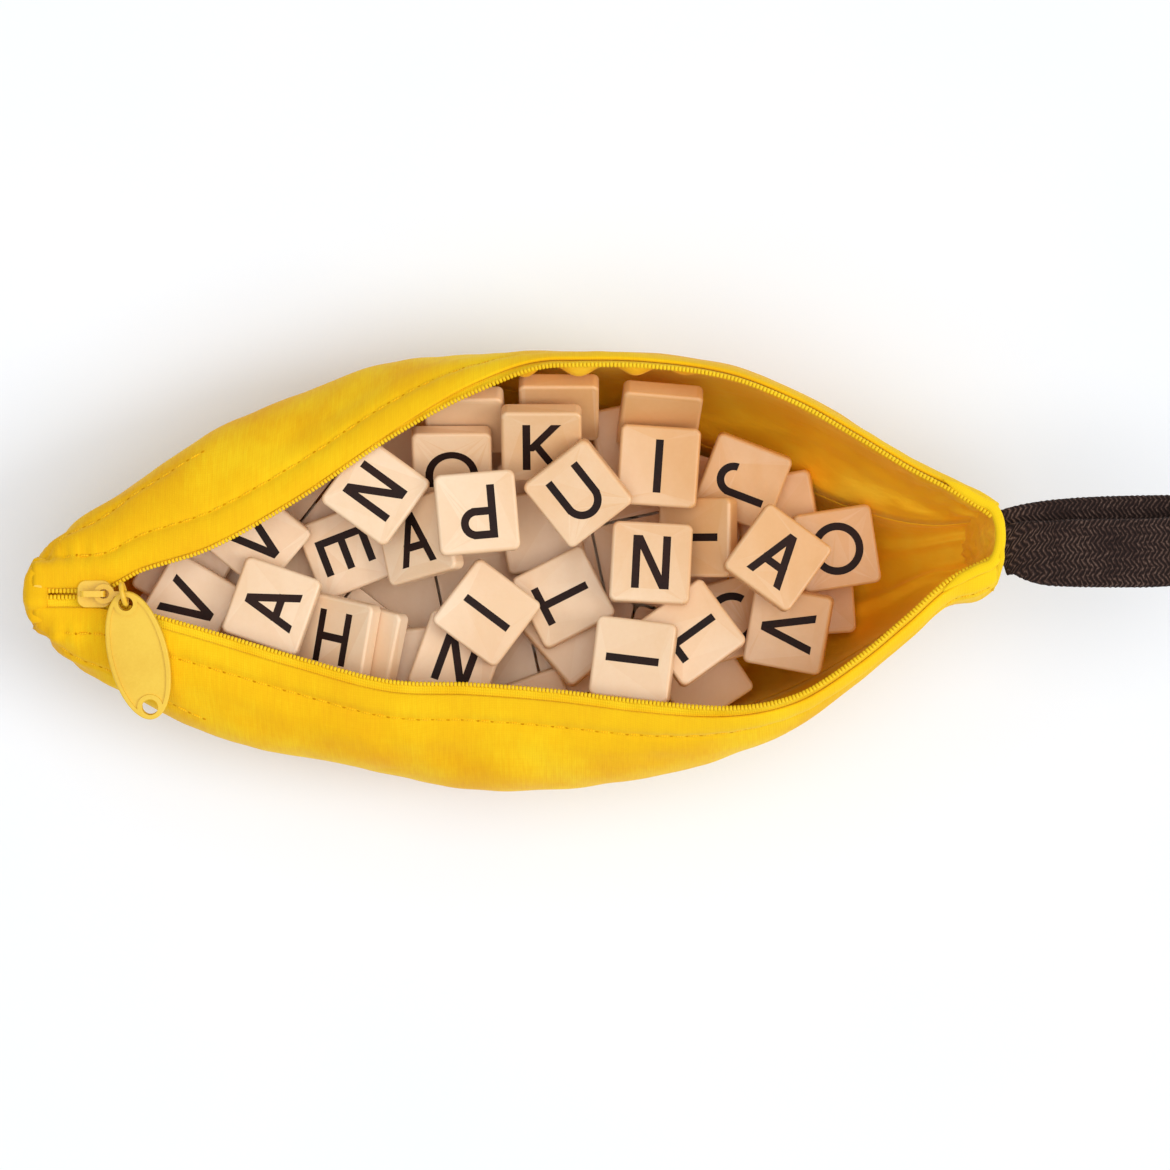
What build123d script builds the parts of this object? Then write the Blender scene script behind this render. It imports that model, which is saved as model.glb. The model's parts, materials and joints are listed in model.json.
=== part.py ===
from build123d import *
import math
import os
from functools import lru_cache

# A soft zipped pouch, open on top, full of letter tiles.
# Frame: millimetres, +X from the tail (zip slider) to the stem (webbing loop), +Y to the far
# wall, +Z up, origin at the middle of the flat patch that the pouch rests on.

# ---------------------------------------------------------------- driving dimensions
POUCH_LENGTH = 230.0  # from the tail tip to the stem
POUCH_WIDTH = 104.0  # across the widest bulge of the walls
RIM_HEIGHT = 62.0  # of the mouth at the stem, its highest point
CANVAS = 1.0  # outer fabric, thickness
LINING = 0.5  # inner fabric, thickness
TAPE = 0.5  # zip tape, thickness
TAPE_SHOWN = 2.8  # tape between the teeth and the canvas fold
TAPE_WIDTH = 10.0  # from the teeth to the tape's hidden edge
TAPE_SHARE = 0.6  # of a wall's height at most, where the wall is low
COIL_WIDTH = 1.4  # one row of teeth, across the tape
COIL_HEIGHT = 1.5  # one row of teeth, through the tape
TEETH_GAP = 0.2  # from the teeth to the edge of the tape
CHAIN_GAP = 0.3  # between the two rows of teeth where the zip is closed
ZIP_MIDDLE = -4.45  # Y of the closed zip
LINING_BACK = 1.6  # from the canvas fold back to the lining's edge
LAYER_GAP = 0.1  # between two layers of fabric
TAPE_INSET = 4.0  # from the tail's end to where the tapes and the lining start
TAIL_CAP = 2.4  # folded canvas that closes the tail, thickness
STEM_CAP = 2.4  # folded canvas that closes the stem, thickness

SLIDER_LENGTH = 8.0
SLIDER_WIDTH = 6.4
SLIDER_PLATE = 0.9
SLIDER_CLEARANCE = 0.4  # from the teeth to the slider's plates and sides
DIVIDER_LENGTH = 1.8  # the fin in the slider's open end, which parts the two rows of teeth
DIVIDER_CLEARANCE = 0.05  # from the fin to the closed rows
DIVIDER_INSET = 1.1  # from the slider's end to the fin's middle
SLIDER_PLACE = 0.07  # how far along the pouch the slider stands, as a share of its length
BRIDGE_WIDTH = 1.4
BRIDGE_RISE = 2.2  # clear height under the slider's bridge
BRIDGE_SPAN = 5.8  # length of the bridge along the slider
BRIDGE_BAR = 1.2  # thickness of the bridge's bar and posts
PLATE_CORNER = 2.0  # corner radius of the slider's plates
PLATE_EDGE = 0.25  # rounding of their rims
BRIDGE_CORNER = 1.0  # rounding of the bridge's two upper corners
STOP_LENGTH = 2.0  # the end stop that the slider meets at the tail
STOP_MARGIN = 1.5  # how much wider the stop is than the two rows of teeth
STOP_THICK = 0.5
STOP_INSET = 0.2  # from the tail's end to the stop
STOP_CORNER = 0.5
STOP_EDGE = 0.12

LINK_FRAME = 4.8  # length of the link's frame round the bridge's post
LINK_BAR = 1.2  # thickness of the link's wire
RING_REACH = 7.4  # from the slider's middle to the ring at the link's end
RING_RADIUS = 2.4  # of that ring's wire centre
PULL_LENGTH = 31.0
PULL_WIDTH = 14.0
PULL_THICKNESS = 1.8
PULL_RIM = 1.1  # width of the raised border
PULL_RECESS = 0.4  # depth of the field inside the border
PULL_EDGE = 0.35  # rounding of the pull's rim
PULL_HOLE = 1.9  # radius of the small hole near its far end
PULL_EYE = 1.7  # radius of the eye that the link's ring goes through
PULL_SLOPE = 10.0  # degrees that the hanging pull dips below the horizontal
PULL_SWING = 12.0  # degrees that it points past straight across the pouch, towards the stem
RUNNING_GAP = 0.4  # between the pull's parts, which hang loosely in each other

LOOP_LENGTH = 54.0  # from the stem to the loop's outer fold
LOOP_WIDTH = 16.0  # of the webbing
WEBBING = 1.4  # its thickness
LOOP_SPREAD = 7.0  # between the middles of the two runs at mid length
LOOP_FLARE = 1.6  # how quickly the runs part: they are fully apart at 1 / this of their length
LOOP_SEWN = 0.22  # share of the length over which the two runs are sewn together
LOOP_GAP = 0.8  # from the loop's sewn end to the stem's canvas
LOOP_DROP = 8.0  # from the rim down to the loop's middle
LOOP_SHIFT = 2.0  # of the loop towards the near wall, from the middle of the mouth

TILE_SIDE = 19.0
TILE_THICK = 4.8
TILE_CORNER = 1.6  # corner radius seen from the face
TILE_EDGE = 0.8  # rounding between faces and sides
LETTER_HEIGHT = 12.6
LETTER_STROKE = 1.85
LETTER_DEPTH = 0.5  # engraved depth
PAINT = 0.3  # paint at the bottom of each engraved letter
TILE_CLEARANCE = 0.12  # between neighbouring tiles
WALL_CLEARANCE = 0.35  # between tiles and fabric
HIDDEN_LAYERS = 5  # flat layers under the loose ones
LAYER_PITCH = TILE_THICK + 0.25
GRID_PITCH = TILE_SIDE + 0.7  # of a flat layer's tiles

# ---------------------------------------------------------------- shape of the pouch
# One row per station along the pouch. x is in 230ths of its length; the y of the rim, bulge and
# seam of the near and far walls in 104ths of its width; the z of rim, seam and keel in 56ths of
# the rim's height; shoulder is how far the wall leans down as it leaves the rim, from 0 to 1.
CLOSED_NEAR = (ZIP_MIDDLE - (COIL_WIDTH + CHAIN_GAP) / 2) * 104 / POUCH_WIDTH
CLOSED_FAR = (ZIP_MIDDLE + (COIL_WIDTH + CHAIN_GAP) / 2) * 104 / POUCH_WIDTH
#  x      near rim, bulge, seam   far rim, bulge, seam   z rim, seam, keel   shoulder
STATIONS = (
    (-117, CLOSED_NEAR, -8.0, -7.2, CLOSED_FAR, -2.0, -3.0, 45.0, 38.0, 34.0, 0.0),
    (-107, CLOSED_NEAR, -19.5, -18.8, CLOSED_FAR, 9.8, 9.0, 45.0, 30.0, 23.0, 0.0),
    (-99, CLOSED_NEAR, -25.0, -24.3, CLOSED_FAR, 16.6, 15.8, 45.0, 28.0, 18.0, 0.0),
    (-88, -8.8, -31.0, -30.2, 1.2, 24.2, 23.4, 45.5, 25.0, 11.0, 0.02),
    (-72, -13.4, -38.8, -37.8, 6.4, 34.8, 33.8, 46.0, 22.0, 4.0, 0.05),
    (-52, -19.5, -44.0, -42.6, 17.6, 44.0, 42.4, 46.0, 19.0, -0.3, 0.1),
    (-30, -25.2, -49.0, -46.2, 32.4, 51.2, 48.0, 47.0, 17.0, -0.3, 0.12),
    (-10, -26.0, -51.8, -47.5, 43.5, 53.6, 48.6, 48.0, 15.0, -0.3, 0.15),
    (10, -27.6, -52.0, -47.0, 50.8, 54.0, 46.5, 49.0, 14.0, -0.3, 0.15),
    (30, -30.2, -49.6, -44.0, 51.2, 53.2, 41.5, 50.5, 14.0, -0.3, 0.2),
    (50, -32.4, -43.6, -38.0, 48.6, 49.8, 34.0, 52.0, 15.0, -0.3, 0.3),
    (66, -29.6, -37.2, -31.0, 42.2, 43.0, 26.5, 53.0, 18.0, 2.5, 0.4),
    (80, -20.6, -27.2, -22.5, 34.9, 35.7, 20.5, 54.5, 23.0, 8.5, 0.4),
    (92, -10.4, -17.2, -14.0, 27.8, 28.7, 17.0, 55.5, 28.0, 16.0, 0.4),
    (101, -2.4, -9.4, -7.5, 22.6, 23.9, 15.5, 56.0, 33.0, 24.0, 0.4),
    (109, 2.0, -6.0, -4.5, 17.2, 20.0, 15.5, 56.0, 38.0, 32.0, 0.4),
    (117, 5.0, -2.0, -1.0, 12.5, 17.0, 14.0, 56.0, 42.0, 38.0, 0.4),
)
UNITS = (POUCH_LENGTH / 230,) + (POUCH_WIDTH / 104,) * 6 + (RIM_HEIGHT / 56,) * 3 + (1.0,)
OUTLINE = [[value * unit for value, unit in zip(row, UNITS)] for row in STATIONS]
BELLY = 7.0  # how far the floor would sag past its flat patch if nothing were under it
SOFTNESS = 1.2  # how gently the floor turns up out of its flat patch

TAIL_X = -0.4935 * POUCH_LENGTH  # where the fabric panels end at the tail
STEM_X = 0.487 * POUCH_LENGTH  # where they end at the stem
GRID_STEP = 3.5  # between the rows of points that a fabric surface is drawn through

TAPE_DEPTH = CANVAS + LAYER_GAP  # from the outer surface in to the tape
LINING_DEPTH = TAPE_DEPTH + TAPE + LAYER_GAP
INNER_DEPTH = LINING_DEPTH + LINING
CHAIN_DEPTH = TAPE_DEPTH + TAPE / 2  # from the outer surface in to the middle of the teeth


def soft_floor(height):
    """Zero or more, turning smoothly at zero."""
    return (height + math.sqrt(height * height + SOFTNESS * SOFTNESS)) / 2


@lru_cache(maxsize=None)
def outline(x):
    """The station values at x, on a smooth curve through every station."""
    rows = OUTLINE
    k = max(0, min(len(rows) - 2, sum(1 for row in rows[1:-1] if row[0] <= x)))
    low, high = rows[k], rows[k + 1]
    span = high[0] - low[0]
    t = (x - low[0]) / span

    def slope(i, column):
        before, here, after = rows[max(i - 1, 0)], rows[i], rows[min(i + 1, len(rows) - 1)]
        if (here[column] - before[column]) * (after[column] - here[column]) <= 0:
            return 0.0
        return (after[column] - before[column]) / (after[0] - before[0])

    values = []
    for column in range(1, len(low)):
        a, b = low[column], high[column]
        m, n = slope(k, column) * span, slope(k + 1, column) * span
        values.append(
            a * (2 * t**3 - 3 * t**2 + 1) + m * (t**3 - 2 * t**2 + t)
            + b * (3 * t**2 - 2 * t**3) + n * (t**3 - t**2)
        )
    return tuple(values)


def bezier(a, b, c, d, t):
    return a * (1 - t) ** 3 + 3 * b * t * (1 - t) ** 2 + 3 * c * t * t * (1 - t) + d * t**3


def wall_point(x, t, far):
    """Y and Z on a wall's outer surface, from its rim at t = 0 to its seam at t = 1."""
    values = outline(x)
    rim, bulge, seam = values[3:6] if far else values[0:3]
    rim_z, seam_z, shoulder = values[6], values[7], values[9]
    reach = (bulge - (rim + seam) / 8) / 0.75
    drop = rim_z - seam_z
    y = bezier(rim, reach, reach, seam, t)
    z = bezier(rim_z, rim_z - shoulder * drop, rim_z - 0.8 * drop, seam_z, t)
    return y, z


def floor_point(x, t):
    """Y and Z on the floor's outer surface, from the near seam at t = 0 to the far one."""
    values = outline(x)
    near, far, seam_z, keel = values[2], values[5], values[7], values[8]
    middle = (near + far) / 2
    y = bezier(near, near + 0.1 * (middle - near), far + 0.1 * (middle - far), far, t)
    belly = BELLY * max(0.0, 1 - soft_floor(keel) / 6)
    low = (keel - belly - seam_z / 4) / 0.75
    z = bezier(seam_z, low, low, seam_z, t)
    return y, keel + soft_floor(z - keel)


def outer_point(x, v):
    """The outer surface: v runs from the near rim 0 to the seams 1 and 2 to the far rim 3."""
    if v <= 1:
        return (x, *wall_point(x, v, far=False))
    if v >= 2:
        return (x, *wall_point(x, 3 - v, far=True))
    return (x, *floor_point(x, v - 1))


@lru_cache(maxsize=None)
def skin_frame(x, v):
    """The point at (x, v) with the inward normal and the direction out past the rim."""
    dx, dv = 0.5, 0.02
    p = Vector(*outer_point(x, v))
    low, high = max(v - dv, 0.0), min(v + dv, 3.0)
    along = Vector(*outer_point(x + dx, v)) - Vector(*outer_point(x - dx, v))
    across = Vector(*outer_point(x, high)) - Vector(*outer_point(x, low))
    inward = along.cross(across).normalized()
    past = along.normalized().cross(inward).normalized()
    return p, inward, past if v < 1.5 else past * -1


@lru_cache(maxsize=None)
def rim_share(x, distance, far):
    """The t on a wall at a distance from its rim, measured over the fabric."""
    steps, length = 100, 0.0
    last = wall_point(x, 0, far)
    for i in range(1, steps + 1):
        here = wall_point(x, i / steps, far)
        piece = math.dist(last, here)
        if length + piece >= distance:
            return (i - 1 + (distance - length) / piece) / steps
        length += piece
        last = here
    return 1.0


def wall_length(x, far):
    points = [wall_point(x, i / 20, far) for i in range(21)]
    return sum(math.dist(a, b) for a, b in zip(points, points[1:]))


def skin_point(x, v, depth, past=0.0):
    p, inward, rim_out = skin_frame(x, v)
    return p + inward * depth - rim_out * past


def wall_v(x, t, far):
    return 3 - t if far else t


# ---------------------------------------------------------------- helpers for solids
def slab(outer, inner):
    """A closed sheet of fabric between two grids of points."""
    faces = [Face.make_surface_from_array_of_points(rows, tol=0.01) for rows in (outer, inner)]
    edges = faces[1].edges()
    for edge in faces[0].edges():
        match = min(edges, key=lambda other: (other.center() - edge.center()).length)
        faces.append(Face.make_surface_from_curves(edge, match))
    return Solid(Shell(faces))


def stations(low, high):
    count = max(2, math.ceil((high - low) / GRID_STEP))
    return [low + (high - low) * i / count for i in range(count + 1)]


def wall_sheet(far, start, end, depth, thickness, low=TAIL_X, columns=16):
    """A layer of a wall from start to end, both measured from the rim, or to the seam."""
    grids = []
    for d in (depth, depth + thickness):
        rows = []
        for x in stations(low, STEM_X):
            first = rim_share(x, start, far)
            hidden_edge = None if end is None else min(end, TAPE_SHARE * wall_length(x, far))
            last = 1.0 if end is None else rim_share(x, hidden_edge, far)
            shares = [first + (last - first) * j / columns for j in range(columns + 1)]
            rows.append([skin_point(x, wall_v(x, t, far), d) for t in shares])
        grids.append(rows)
    return slab(*grids)


def floor_sheet(depth, thickness, low=TAIL_X, columns=36):
    grids = []
    for d in (depth, depth + thickness):
        rows = []
        for x in stations(low, STEM_X):
            rows.append([skin_point(x, 1 + j / columns, d) for j in range(columns + 1)])
        grids.append(rows)
    return slab(*grids)


def chain_sheet(far):
    """One row of teeth as a plain bar along the tape's edge."""
    v = 3.0 if far else 0.0
    grids = []
    for side in (-0.5, 0.5):
        rows = []
        for x in stations(TAIL_X, STEM_X):
            depths = [CHAIN_DEPTH + COIL_HEIGHT * (j / 2 - 0.5) for j in range(3)]
            rows.append([skin_point(x, v, d, side * COIL_WIDTH) for d in depths])
        grids.append(rows)
    return slab(*grids)


def rounded_box(length, width, height, corner, edge):
    block = Box(length, width, height)
    block = fillet(block.edges().filter_by(Axis.Z), corner)
    return fillet(block.faces().filter_by(Axis.Z).edges(), edge)


nodes = {}


# ---------------------------------------------------------------- fabric
def make_fabric():
    above_table = Pos(0, 0, POUCH_LENGTH) * Box(2 * POUCH_LENGTH, 2 * POUCH_LENGTH, 2 * POUCH_LENGTH)
    nodes["near_side_panel"] = wall_sheet(False, TAPE_SHOWN, None, 0, CANVAS)
    nodes["far_side_panel"] = wall_sheet(True, TAPE_SHOWN, None, 0, CANVAS)
    nodes["bottom_panel"] = floor_sheet(0, CANVAS) & above_table
    low = TAIL_X + TAPE_INSET
    lining = (TAPE_SHOWN + LINING_BACK, None, LINING_DEPTH, LINING, low)
    nodes["near_lining"] = wall_sheet(False, *lining)
    nodes["far_lining"] = wall_sheet(True, *lining)
    nodes["bottom_lining"] = floor_sheet(LINING_DEPTH, LINING, low)
    tape = (COIL_WIDTH / 2 + TEETH_GAP, TAPE_WIDTH, TAPE_DEPTH, TAPE, low, 5)
    nodes["near_zip_tape"] = wall_sheet(False, *tape)
    nodes["far_zip_tape"] = wall_sheet(True, *tape)
    nodes["near_zip_coil"] = chain_sheet(False)
    nodes["far_zip_coil"] = chain_sheet(True)


def end_outline(x, margin):
    """The pouch's section at x as a flat face, larger all round by a margin."""
    points = [skin_point(x, 3 * i / 36, -margin) for i in range(37)]
    loop = [(p.Y, p.Z) for p in points]
    return make_face(Plane.YZ * Polyline(*loop, close=True))


def make_end_caps():
    tail = extrude(end_outline(TAIL_X, 0.0), TAIL_CAP, dir=(-1, 0, 0))
    nodes["tail_end_fold"] = Pos(TAIL_X - LAYER_GAP, 0, 0) * tail
    stem = extrude(end_outline(STEM_X, 0.0), STEM_CAP, dir=(1, 0, 0))
    nodes["stem_end_fold"] = Pos(STEM_X + LAYER_GAP, 0, 0) * stem


# ---------------------------------------------------------------- zip slider and pull
def chain_middle(x):
    """The point midway between the two rows of teeth."""
    return (skin_point(x, 0.0, CHAIN_DEPTH) + skin_point(x, 3.0, CHAIN_DEPTH)) * 0.5


SLIDER_X = -POUCH_LENGTH / 2 + SLIDER_PLACE * POUCH_LENGTH
SLIDER_CENTRE = chain_middle(SLIDER_X)
CHANNEL = COIL_HEIGHT + 2 * SLIDER_CLEARANCE


def make_slider():
    plate_z = CHANNEL / 2 + SLIDER_PLATE / 2
    plates = []
    for sign in (-1, 1):
        plate = rounded_box(SLIDER_LENGTH, SLIDER_WIDTH, SLIDER_PLATE, PLATE_CORNER, PLATE_EDGE)
        plates.append(Pos(0, 0, sign * plate_z) * plate)
    fin = Ellipse(DIVIDER_LENGTH / 2, CHAIN_GAP / 2 - DIVIDER_CLEARANCE)
    fin = Pos(SLIDER_LENGTH / 2 - DIVIDER_INSET, 0, 0) * extrude(fin, plate_z, both=True)
    nodes["slider_body"] = Pos(SLIDER_CENTRE) * (plates[0] + plates[1] + fin)
    foot = plate_z + SLIDER_PLATE / 2
    top, clear = BRIDGE_RISE + BRIDGE_BAR, BRIDGE_SPAN - 2 * BRIDGE_BAR
    arch = Rectangle(BRIDGE_SPAN, top) - Pos(0, -BRIDGE_BAR / 2) * Rectangle(clear, BRIDGE_RISE)
    bridge = extrude(Plane.XZ * Pos(0, foot + top / 2) * arch, BRIDGE_WIDTH / 2, both=True)
    outer = bridge.edges().filter_by(Axis.Y).group_by(Axis.Z)[-1]
    bridge = fillet(outer, BRIDGE_CORNER)
    nodes["slider_bridge"] = Pos(SLIDER_CENTRE) * bridge
    stop_size = (STOP_LENGTH, 2 * COIL_WIDTH + STOP_MARGIN, STOP_THICK)
    stop_x = TAIL_X + STOP_LENGTH / 2 + STOP_INSET
    top_z = COIL_HEIGHT / 2 + LAYER_GAP + stop_size[2] / 2
    stop = Pos(0, 0, top_z) * rounded_box(*stop_size, STOP_CORNER, STOP_EDGE)
    nodes["zip_end_stop"] = Pos(chain_middle(stop_x)) * stop
    return foot


def make_pull(foot):
    """The link through the bridge, and the oval pull that hangs from it over the near wall."""
    frame_width = BRIDGE_WIDTH + 2 * RUNNING_GAP + 2 * LINK_BAR
    frame = SlotOverall(LINK_FRAME, frame_width)
    frame -= SlotOverall(LINK_FRAME - 2 * LINK_BAR, frame_width - 2 * LINK_BAR)
    frame_x = BRIDGE_SPAN / 2 - BRIDGE_BAR - RUNNING_GAP - LINK_BAR + LINK_FRAME / 2
    neck_start = frame_x + LINK_FRAME / 2 - LINK_BAR / 2
    neck = Pos((neck_start + RING_REACH) / 2, 0) * Rectangle(RING_REACH - neck_start, LINK_BAR)
    link = extrude(Pos(frame_x, 0) * frame + neck, LINK_BAR / 2, both=True)
    swing = Rot(0, 0, -90 + PULL_SWING)
    ring = Pos(RING_REACH, 0, RING_RADIUS) * swing * Rot(90, 0, 0) * Torus(RING_RADIUS, LINK_BAR / 2)
    link_origin = SLIDER_CENTRE + Vector(0, 0, foot + BRIDGE_RISE / 2)
    nodes["pull_link"] = Pos(link_origin) * (link + ring)
    eye = link_origin + Vector(RING_REACH, 0, RING_RADIUS)
    half_length, half_width = PULL_LENGTH / 2, PULL_WIDTH / 2
    body = extrude(Ellipse(half_length, half_width), PULL_THICKNESS / 2, both=True)
    body = fillet(body.faces().filter_by(Axis.Z).edges(), PULL_EDGE)
    eye_x = -half_length + PULL_RIM + PULL_EYE
    hole_x = half_length - PULL_RIM - PULL_HOLE
    holes = ((eye_x, PULL_EYE), (hole_x, PULL_HOLE))
    field = Ellipse(half_length - PULL_RIM, half_width - PULL_RIM)
    for x, radius in holes:
        field -= Pos(x, 0) * Circle(radius + PULL_RIM)
    floor = PULL_THICKNESS / 2 - PULL_RECESS
    body -= Pos(0, 0, floor) * extrude(field, PULL_THICKNESS)
    body -= Pos(0, 0, -floor) * extrude(field, -PULL_THICKNESS)
    for x, radius in holes:
        body -= Pos(x, 0) * Cylinder(radius, 2 * PULL_THICKNESS)
    hang = Pos(eye) * swing * Rot(0, PULL_SLOPE, 0)
    nodes["pull_tab"] = hang * Pos(half_length - PULL_RIM / 2, 0, 0) * body
    pivot = link_origin + Vector(frame_x - LINK_FRAME / 2 + LINK_BAR / 2, 0, 0)
    print("link pivot", tuple(pivot), "pull pivot", tuple(eye))


# ---------------------------------------------------------------- webbing loop
def strap_edge(start, run, offset_z):
    """One side of the folded strap in X and Z: out along the run, round the fold and back."""
    radius = LOOP_SPREAD / 2 + offset_z
    rise = []
    for i in range(13):
        share = start + (1 - start) * i / 12
        lift = max(LOOP_SPREAD / 2 * math.sin(math.pi / 2 * min(LOOP_FLARE * share, 1)), WEBBING / 2)
        rise.append((run * share, lift + offset_z))
    upper = Spline(*rise)
    fold = ThreePointArc(rise[-1], (run + radius, 0), (run, -radius))
    lower = Spline(*[(x, -z) for x, z in reversed(rise)])
    return make_face([upper, fold, lower, Line((rise[0][0], -rise[0][1]), rise[0])])


def make_loop():
    """One strap folded back on itself, its two ends sewn together into the stem."""
    y, z = loop_root()
    run = LOOP_LENGTH - (LOOP_SPREAD + WEBBING) / 2
    strap = strap_edge(0.0, run, WEBBING / 2) - strap_edge(LOOP_SEWN, run, -WEBBING / 2)
    strap = extrude(Plane.XZ * strap, LOOP_WIDTH / 2, both=True)
    nodes["webbing_loop"] = Pos(STEM_X + LAYER_GAP + STEM_CAP + LOOP_GAP, y, z) * strap


def loop_root():
    """Y and Z of the middle of the loop's sewn end."""
    values = outline(STEM_X)
    return (values[0] + values[3]) / 2 - LOOP_SHIFT, values[6] - LOOP_DROP


# ---------------------------------------------------------------- letters
def bar(x0, y0, x1, y1):
    length = math.dist((x0, y0), (x1, y1)) + LETTER_STROKE
    angle = math.degrees(math.atan2(y1 - y0, x1 - x0))
    return Pos((x0 + x1) / 2, (y0 + y1) / 2) * Rot(0, 0, angle) * Rectangle(length, LETTER_STROKE)


def bow(x, y, radius, start, sweep):
    """A round stroke: an arc of the stroke's width about (x, y)."""
    ring = Circle(radius + LETTER_STROKE / 2) - Circle(radius - LETTER_STROKE / 2)
    reach = 2 * radius + 4
    wedge = [(0, 0)]
    for i in range(5):
        a = math.radians(start + sweep * i / 4)
        wedge.append((reach * math.cos(a), reach * math.sin(a)))
    piece = ring if sweep >= 360 else ring & make_face(Polyline(*wedge, close=True))
    return Pos(x, y) * piece


def leaning(x0, y0, x1, y1):
    """A slanted stroke with level ends, its middle line from (x0, y0) to (x1, y1)."""
    half = LETTER_STROKE / 2 * math.dist((x0, y0), (x1, y1)) / abs(y1 - y0)
    corners = [(x0 - half, y0), (x0 + half, y0), (x1 + half, y1), (x1 - half, y1)]
    return make_face(Polyline(*corners, close=True))


def letter_strokes(letter):
    """The strokes of one plain capital, centred on the tile."""
    top = LETTER_HEIGHT / 2
    h = top - LETTER_STROKE / 2
    wide, narrow = 0.31 * LETTER_HEIGHT, 0.28 * LETTER_HEIGHT
    if letter == "A":
        cross = 0.62 * wide
        return [leaning(-wide, -top, 0, top), leaning(wide, -top, 0, top),
                bar(-cross, -0.35 * h, cross, -0.35 * h)]
    if letter == "C":
        return [bow(0, 0, h, 45, 270)]
    if letter == "D":
        start = -0.4 * wide
        return [bar(-wide, -h, -wide, h), bar(-wide, h, start, h), bar(-wide, -h, start, -h),
                bow(start, 0, h, -90, 180)]
    if letter == "E":
        arms = [bar(-narrow, k * h, narrow, k * h) for k in (-1, 0, 1)]
        return [bar(-narrow, -h, -narrow, h)] + arms
    if letter == "H":
        return [bar(-narrow, -h, -narrow, h), bar(narrow, -h, narrow, h), bar(-narrow, 0, narrow, 0)]
    if letter == "I":
        return [bar(0, -h, 0, h)]
    if letter == "J":
        r = 0.25 * LETTER_HEIGHT
        return [bar(r, -h + r, r, h), bow(0, -h + r, r, 180, 180)]
    if letter == "K":
        arm_y = -0.2 * h
        leg_y = arm_y + (top - arm_y) / 4
        return [bar(-narrow, -h, -narrow, h), leaning(-0.86 * narrow, arm_y, narrow, top),
                leaning(-0.395 * narrow, leg_y, narrow, -top)]
    if letter == "N":
        return [bar(-narrow, -h, -narrow, h), bar(narrow, -h, narrow, h),
                leaning(-0.93 * narrow, top, 0.93 * narrow, -top)]
    if letter == "O":
        return [bow(0, 0, h, 0, 360)]
    if letter == "P":
        r = 0.22 * LETTER_HEIGHT
        start = 0.1 * narrow
        return [bar(-narrow, -h, -narrow, h), bar(-narrow, h, start, h),
                bar(-narrow, h - 2 * r, start, h - 2 * r), bow(start, h - r, r, -90, 180)]
    if letter == "T":
        return [bar(0, -h, 0, h), bar(-wide, h, wide, h)]
    if letter == "U":
        r = 0.3 * LETTER_HEIGHT
        return [bar(-r, -h + r, -r, h), bar(r, -h + r, r, h), bow(0, -h + r, r, 180, 180)]
    return [leaning(-wide, top, 0, -top), leaning(wide, top, 0, -top)]  # V


@lru_cache(maxsize=None)
def lettered_tile(letter):
    """A tile with an engraved letter on its upper face, and the paint in the letter."""
    tile = rounded_box(TILE_SIDE, TILE_SIDE, TILE_THICK, TILE_CORNER, TILE_EDGE)
    if not letter:
        return tile, None
    strokes = letter_strokes(letter)
    shape = strokes[0].fuse(*strokes[1:]).clean() if len(strokes) > 1 else strokes[0]
    floor = TILE_THICK / 2 - LETTER_DEPTH
    groove = Pos(0, 0, floor) * extrude(shape, LETTER_DEPTH + 1)
    paint = Pos(0, 0, floor) * extrude(shape, PAINT)
    return tile - groove, paint


# ---------------------------------------------------------------- the pile of tiles
# Loose tiles, lowest first: the letter it shows, or none; the centre's x in 230ths of the
# pouch's length and y in 104ths of its width; turn, the letter's turn from upright; tilt and
# the direction that the tilted face looks to; all in degrees. A named tile lifts out by itself.
LOOSE = (
    ("", "", 4.0, -34.0, 20, 3, 100), ("", "", 28.0, 32.0, 12, 6, -100),
    ("", "", -80.0, 1.2, 60, 6, 200), ("", "", 44.4, -24.5, 33, 4, 60),
    ("", "", -20.5, -21.8, 5, 3, 190), ("", "", 72.0, -5.0, 4, 5, 180),
    ("", "", 62.7, 14.8, 10, 6, 150), ("", "", 14.0, -14.0, 40, 3, 100),
    ("", "", 5.6, 10.9, 10, 3, 200), ("", "", -12.3, 37.0, 2, 50, -92),
    ("", "", 10.0, 40.0, 0, 50, -90), ("", "", 34.0, 38.0, -6, 50, -92),
    ("", "E", -41.1, 5.9, -69, 4, 200), ("", "D", -15.5, 26.3, 90, 30, -88),
    ("", "O", 76.5, 6.4, 9, 5, 200), ("", "C", 51.4, -10.6, 15, 5, 90),
    ("", "V", -78.0, -7.0, 60, 8, 180), ("", "V", -62.1, 8.9, 50, 6, -60),
    ("", "", -36.6, -16.6, -13, 26, 180), ("", "K", 5.9, 31.4, 0, 34, -90),
    ("", "J", 54.0, 22.5, -111, 15, -90), ("", "I", 43.2, 9.0, 90, 28, 180),
    ("", "V", 64.8, -12.9, -100, 6, 180), ("", "A", -23.2, 8.7, 14, 28, 180),
    ("", "H", -42.8, -14.8, -11, 26, 180), ("", "T", 11.0, -5.4, 117, 3, 150),
    ("", "T", 41.5, -13.8, 126, 4, 120), ("", "N", -33.5, 20.2, 54, 6, -60),
    ("", "N", -14.4, -20.0, -20, 6, 100),
    ("", "I", 33.7, 25.8, -4, 6, -95), ("", "I", 27.6, -20.0, 83, 4, 100),
    ("front_left", "A", -58.0, -7.4, 71, 4, 100), ("back_left", "P", -9.2, 14.6, 185, 4, -90),
    ("back_middle", "U", 14.6, 19.4, 38, 4, -90), ("centre", "N", 31.8, 2.8, -3, 4, 180),
    ("right", "A", 61.6, 4.0, -36, 5, 120), ("front_middle", "I", -7.2, -8.9, 53, 4, 200),
)
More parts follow.
